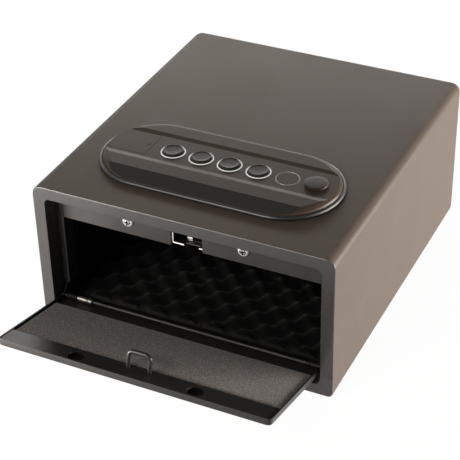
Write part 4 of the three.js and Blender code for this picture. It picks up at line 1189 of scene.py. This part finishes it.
@dataclass
class KeypadUnit:
    """Keypad panel, keys, rings, caps and the battery bay. Lengths in millimetres."""

    panel_edge: float = 0.3
    panel_angle: float = 9.0
    key_radius: float = 8.3
    key_flange: float = 0.7
    key_round: float = 0.8
    key_steps: int = 64
    key_smooth: float = 50.0
    round_steps: int = 4
    brim_width: float = 0.5
    dish_inset: float = 0.25
    dish_step: float = 0.16
    dish_level: float = 0.2
    dish_depth: float = 0.25
    dish_shares: tuple[float, ...] = (0.85, 0.6, 0.4, 0.2, 0.0)
    dot: float = 0.42
    dot_pitch: float = 1.7
    dot_flat: float = 0.6
    ring_width: float = 1.0
    ring_soft: float = 0.25
    ring_steps: int = 96
    marker_width: float = 0.9
    cap_neck: float = 1.4
    cap_brim: float = 0.9
    cap_soft: float = 0.3
    cap_edge: Profile = ((0, 0.75), (0.1, 0.5), (0.35, 0.3))
    cap_dome: Profile = ((0.86, 0.2), (0.5, 0.06), (0, 0))
    cap_steps: int = 72
    facet_lean: float = 12.7
    facet_spread: float = 4.0
    bead_width: float = 2.45
    bead_high: float = 131.72
    cell_edge: float = 0.3
    cell_end: float = 1.4
    cell_facing: float = -0.5
    under: tuple[Row, ...] = (
        ("keypad_gasket", RUBBER, "safe_body", 0.2),
        ("circuit_board", BOARD_RESIN, "safe_body", 0.1),
    )
    bay: tuple[Row, ...] = (
        ("panel_nut_left", ZINC_PLATE, "safe_body", 0.3),
        ("panel_nut_right", ZINC_PLATE, "safe_body", 0.3),
        ("battery_cover", PANEL_PLASTIC, "battery_cover", 0.15),
        ("battery_well", WELL_PLASTIC, "safe_body", 0.3),
        ("battery_contact", ZINC_PLATE, "safe_body", 0.1),
    )

    def dish(self, share: float) -> float:
        """How far a key's dish lies under its top at a share of the dish's radius."""
        return self.dish_level + self.dish_depth * (1 - share ** 2)

    def key(self, node: str, count: int) -> bmesh.types.BMesh:
        """Makes one round key with a dished top and raised dots.

        Args:
            node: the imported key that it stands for.
            count: how many dots it carries.

        Returns:
            The key, in metres.
        """
        low, high = extent(node)
        x, y, _ = centre_of(low, high)
        top, radius, soft = high.z, self.key_radius, self.key_round
        flange, shelf = (high.x - low.x) / 2, low.z + self.key_flange
        profile = [(0, low.z), (flange, low.z), (flange, shelf), (radius, shelf), (radius, top - soft)]
        for step in range(1, self.round_steps + 1):
            turn = math.pi / 2 * step / self.round_steps
            profile.append((radius - soft + soft * math.cos(turn), top - soft + soft * math.sin(turn)))
        brim = radius - soft - self.brim_width
        bowl = brim - self.dish_inset
        profile += [(brim, top), (bowl, top - self.dish_step)]
        profile += [(share * bowl, top - self.dish(share)) for share in self.dish_shares]
        solid = spun(profile, (x, y, 0), self.key_steps)
        for index in range(count):
            off = (index - (count - 1) / 2) * self.dot_pitch
            dot = bmesh.new()
            bmesh.ops.create_icosphere(dot, subdivisions=2, radius=self.dot * MM)
            bmesh.ops.scale(dot, vec=(1, 1, self.dot_flat), verts=dot.verts)
            seat = Vector((x + off, y, top - self.dish(off / brim)))
            bmesh.ops.translate(dot, vec=seat * MM, verts=dot.verts)
            add_shape(solid, dot)
        return solid

    def ring(self, node: str, width: float) -> bmesh.types.BMesh:
        """Makes a flat ring with softly rounded top edges.

        Args:
            node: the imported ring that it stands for.
            width: the width of its band.

        Returns:
            The ring, in metres.
        """
        low, high = extent(node)
        outer, soft = (high.x - low.x) / 2, min(self.ring_soft, width / 3)
        inner = outer - width
        profile = [
            (inner, low.z), (outer, low.z), (outer, high.z - soft), (outer - soft, high.z),
            (inner + soft, high.z), (inner, high.z - soft),
        ]
        return spun(profile, centre_of(low, high), self.ring_steps)

    def cap(self) -> bmesh.types.BMesh:
        """Makes the round cap over the key lock.

        Returns:
            The cap, in metres.
        """
        low, high = extent("key_cap")
        radius, top = (high.x - low.x) / 2, high.z
        neck, brim = radius - self.cap_neck, low.z + self.cap_brim
        profile = [
            (0, low.z), (neck, low.z), (neck, brim),
            (radius - self.cap_soft, brim), (radius, brim + self.cap_soft),
        ]
        profile += [(radius - inset, top - drop) for inset, drop in self.cap_edge]
        profile += [(radius * share, top - drop) for share, drop in self.cap_dome]
        return spun(profile, centre_of(low, high), self.cap_steps)

    def shade_window_and_bead(self, housing: bpy.types.Object) -> None:
        """Gives the housing's sloping front window and its rim bead a glossier finish, with their
        colour painted darker than the panel as painted shade.

        Args:
            housing: the finished keypad housing.
        """
        lean = math.radians(self.facet_lean)
        facing = Vector((0, -math.sin(lean), math.cos(lean)))
        low, high = extent("keypad_housing")
        radius, centre = (high.y - low.y) / 2, (high.y + low.y) / 2
        straight = (high.x - low.x) / 2 - radius

        def on_window(middle: Vector, normal: Vector) -> bool:
            """Tells whether a face lies in the sloping window."""
            return normal.angle(facing) < math.radians(self.facet_spread) and middle.y < centre

        def on_bead(middle: Vector, normal: Vector) -> bool:
            """Tells whether a face lies on the bead round the panel."""
            reach = math.hypot(max(abs(middle.x) - straight, 0.0), middle.y - centre)
            return middle.z < self.bead_high and reach > radius - self.bead_width

        # The window's colour is painted darker than the panel as a painted reflection of dark
        # surroundings.
        paint(housing, WINDOW_GLOSS_SHADE, on_window)
        # The bead gets a near black, glossy copy of the panel plastic as painted shade.
        paint(housing, BEAD_GLOSS_SHADE, on_bead)

    def build(self) -> None:
        """Makes the panel and all that shows in it."""
        housing = dress(
            "keypad_housing", PANEL_PLASTIC, "safe_body", self.panel_edge, angle=self.panel_angle,
        )
        self.shade_window_and_bead(housing)
        dress_each(self.under)
        for number in range(1, 5):
            node, name = f"key_button_{number}", f"round_key_{number}"
            settle(self.key(node, number), name, KEY_PLASTIC, node, node, self.key_smooth)
            node, name = f"light_ring_{number}", f"glow_ring_{number}"
            # The rings glow as painted light.
            settle(self.ring(node, self.ring_width), name, RING_WITH_GLOW, "safe_body", node)
        marker = self.ring("marker_ring", self.marker_width)
        settle(marker, "marker_ring_turned", GREY_RING, "safe_body", "marker_ring")
        settle(self.cap(), "lock_cap_turned", KEY_PLASTIC, "key_cap", "key_cap")
        dress_each(self.bay)
        for number in range(1, 5):
            node = f"battery_cell_{number}"
            cell = dress(node, CELL_WRAP, "safe_body", self.cell_edge)
            end = extent(node)[1].z - self.cell_end
            paint(cell, CELL_END, lambda middle, normal: middle.z > end and normal.z > self.cell_facing)


@dataclass(frozen=True)
class Lamp:
    """A soft rectangular lamp. Its place, the point that it faces and its size are in metres."""

    name: str
    at: Point
    aim: Point
    size: tuple[float, float]
    watts: float
    tint: Colour = (1.0, 0.955, 0.905)

    def hang(self) -> None:
        """Adds the lamp to the scene."""
        data = bpy.data.lights.new(self.name, "AREA")
        data.shape = "RECTANGLE"
        data.size, data.size_y = self.size
        data.energy = self.watts
        data.color = self.tint
        lamp = linked(self.name, data)
        lamp.location = self.at
        lamp.visible_camera = False
        lamp.rotation_mode = "QUATERNION"
        lamp.rotation_quaternion = (Vector(self.aim) - Vector(self.at)).to_track_quat("-Z", "Y")


@dataclass
class Studio:
    """White floor, soft lights and the camera. Places are in metres.

    ceiling and dark_reach each say where the backdrop begins to fade, where the fade ends and
    what is left of it there.
    """

    camera_at: Point = (0.4382, -0.9453, 0.7450)
    azimuth: float = 26.23
    elevation: float = 34.46
    roll: float = -1.40
    lens: float = 115.80
    sensor: float = 36.0
    clip: Span = (0.05, 20.0)
    lamps: tuple[Lamp, ...] = (
        Lamp("right_softbox", (1.3, 0.45, 0.07), (0.12, 0.02, 0.05), (0.9, 0.12), 43),
        Lamp("left_softbox", (-0.28, -0.42, 0.07), (-0.06, -0.15, 0.1), (0.2, 0.06), 2.2),
        Lamp("back_softbox", (-0.2, 0.5, 0.32), (-0.04, 0.05, 0.128), (0.7, 0.1), 1.5),
        Lamp("front_softbox", (-0.6, -1.5, 1.3), (0, -0.1, 0.1), (1.1, 0.4), 15),
    )
    floor_half: float = 6.0
    floor_gap: float = 0.0004
    floor_colour: Colour = (0.8, 0.8, 0.8)
    floor_roughness: float = 0.9
    floor_specular: float = 0.1
    floor_glow: float = 1.06
    floor_share: float = 0.9
    fill_light: float = 0.13
    ceiling: tuple[float, float, float] = (0.42, 0.56, 0.02)
    dark_side: Point = (0.96, -0.28, 0.0)
    dark_reach: tuple[float, float, float] = (0.15, 0.45, 0.1)

    def camera(self) -> None:
        """Sets the camera at the photograph's angle."""
        data = bpy.data.cameras.new("camera")
        data.lens = self.lens
        data.sensor_width = self.sensor
        data.clip_start, data.clip_end = self.clip
        camera = linked("camera", data)
        turn, rise, roll = (math.radians(value) for value in (self.azimuth, self.elevation, self.roll))
        level = math.cos(rise)
        back = Vector((math.sin(turn) * level, -math.cos(turn) * level, math.sin(rise)))
        right = (-back).cross(Vector((0, 0, 1))).normalized()
        up = right.cross(-back)
        across = math.cos(roll) * right + math.sin(roll) * up
        upright = -math.sin(roll) * right + math.cos(roll) * up
        place_at = Matrix((across, upright, back)).transposed().to_4x4()
        place_at.translation = Vector(self.camera_at)
        camera.matrix_world = place_at
        bpy.context.scene.camera = camera

    @staticmethod
    def combined(tree: bpy.types.NodeTree, operation: str, first: Socket, second: Socket) -> Socket:
        """Adds a math node over two sockets.

        Args:
            tree: the tree that gets the node.
            operation: the node's operation.
            first: the first socket.
            second: the second socket.

        Returns:
            The node's output.
        """
        node = tree.nodes.new("ShaderNodeMath")
        node.operation = operation
        tree.links.new(first, node.inputs[0])
        tree.links.new(second, node.inputs[1])
        return node.outputs[0]

    def white_for_eyes(self, tree: bpy.types.NodeTree, share: Optional[Socket] = None) -> Socket:
        """Adds the mask of rays that see the white background.

        Args:
            tree: the node tree of the floor or the world.
            share: a socket with how much of it reflections see, or None for all of it.

        Returns:
            The socket with the mask.
        """
        rays = tree.nodes.new("ShaderNodeLightPath").outputs
        seen = self.combined(tree, "MAXIMUM", rays["Is Glossy Ray"], rays["Is Transmission Ray"])
        if share is not None:
            seen = self.combined(tree, "MULTIPLY", seen, share)
        return self.combined(tree, "MAXIMUM", rays["Is Camera Ray"], seen)

    def backdrop_share(self, tree: bpy.types.NodeTree) -> Socket:
        """Adds the reach of the white backdrop.

        It is bright near the horizon, and dark overhead and at the front right.

        Args:
            tree: the node tree of the world.

        Returns:
            The socket with the share.
        """
        toward = tree.nodes.new("ShaderNodeTexCoord").outputs["Generated"]
        shares = []
        for axis, (start, end, rest) in (((0, 0, 1), self.ceiling), (self.dark_side, self.dark_reach)):
            along = tree.nodes.new("ShaderNodeVectorMath")
            along.operation = "DOT_PRODUCT"
            preset(along, {1: axis})
            tree.links.new(toward, along.inputs[0])
            ramp = tree.nodes.new("ShaderNodeMapRange")
            preset(ramp, {"From Min": start, "From Max": end, "To Min": 1.0, "To Max": rest})
            tree.links.new(along.outputs["Value"], ramp.inputs["Value"])
            shares.append(ramp.outputs["Result"])
        return self.combined(tree, "MULTIPLY", *shares)

    def floor(self) -> None:
        """Makes the pale floor that keeps the soft shadow."""
        bm = bmesh.new()
        bmesh.ops.create_grid(bm, x_segments=1, y_segments=1, size=self.floor_half)
        bmesh.ops.translate(bm, vec=(0, 0, -self.floor_gap), verts=bm.verts)
        mesh = as_mesh(bm, "floor")
        piece = linked("floor", mesh)
        made = bpy.data.materials.new("floor_white")
        made.use_nodes = True
        tree = made.node_tree
        shader = tree.nodes["Principled BSDF"]
        preset(shader, {
            "Base Color": (*self.floor_colour, 1), "Roughness": self.floor_roughness,
            "Specular IOR Level": self.floor_specular,
        })
        glow = tree.nodes.new("ShaderNodeEmission")
        preset(glow, {"Strength": self.floor_glow})
        share = tree.nodes.new("ShaderNodeMath")
        share.operation = "MULTIPLY"
        preset(share, {1: self.floor_share})
        tree.links.new(self.white_for_eyes(tree), share.inputs[0])
        mix = tree.nodes.new("ShaderNodeMixShader")
        tree.links.new(share.outputs[0], mix.inputs[0])
        tree.links.new(shader.outputs[0], mix.inputs[1])
        tree.links.new(glow.outputs[0], mix.inputs[2])
        tree.links.new(mix.outputs[0], tree.nodes["Material Output"].inputs["Surface"])
        mesh.materials.append(made)

    def world(self) -> None:
        """Sets a white surround that lights only weakly."""
        world = bpy.data.worlds.new("studio")
        bpy.context.scene.world = world
        world.use_nodes = True
        tree = world.node_tree
        shade = tree.nodes["Background"]
        preset(shade, {"Color": (1, 1, 1, 1)})
        power = tree.nodes.new("ShaderNodeMapRange")
        preset(power, {"To Min": self.fill_light, "To Max": 1.0})
        tree.links.new(self.white_for_eyes(tree, self.backdrop_share(tree)), power.inputs["Value"])
        tree.links.new(power.outputs["Result"], shade.inputs["Strength"])

    def build(self) -> None:
        """Sets camera, lights, floor and surround."""
        self.camera()
        self.world()
        self.floor()
        for lamp in self.lamps:
            lamp.hang()
        bpy.context.scene.view_settings.view_transform = "Standard"


def main() -> None:
    """Builds the studio and every unit of the safe."""
    logging.basicConfig(level=logging.INFO, format="%(message)s")
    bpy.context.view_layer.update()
    Studio().build()
    for unit in (Body(), Lining(), DoorUnit(), LockUnit(), KeypadUnit()):
        unit.build()


if __name__ == "__main__":
    main()
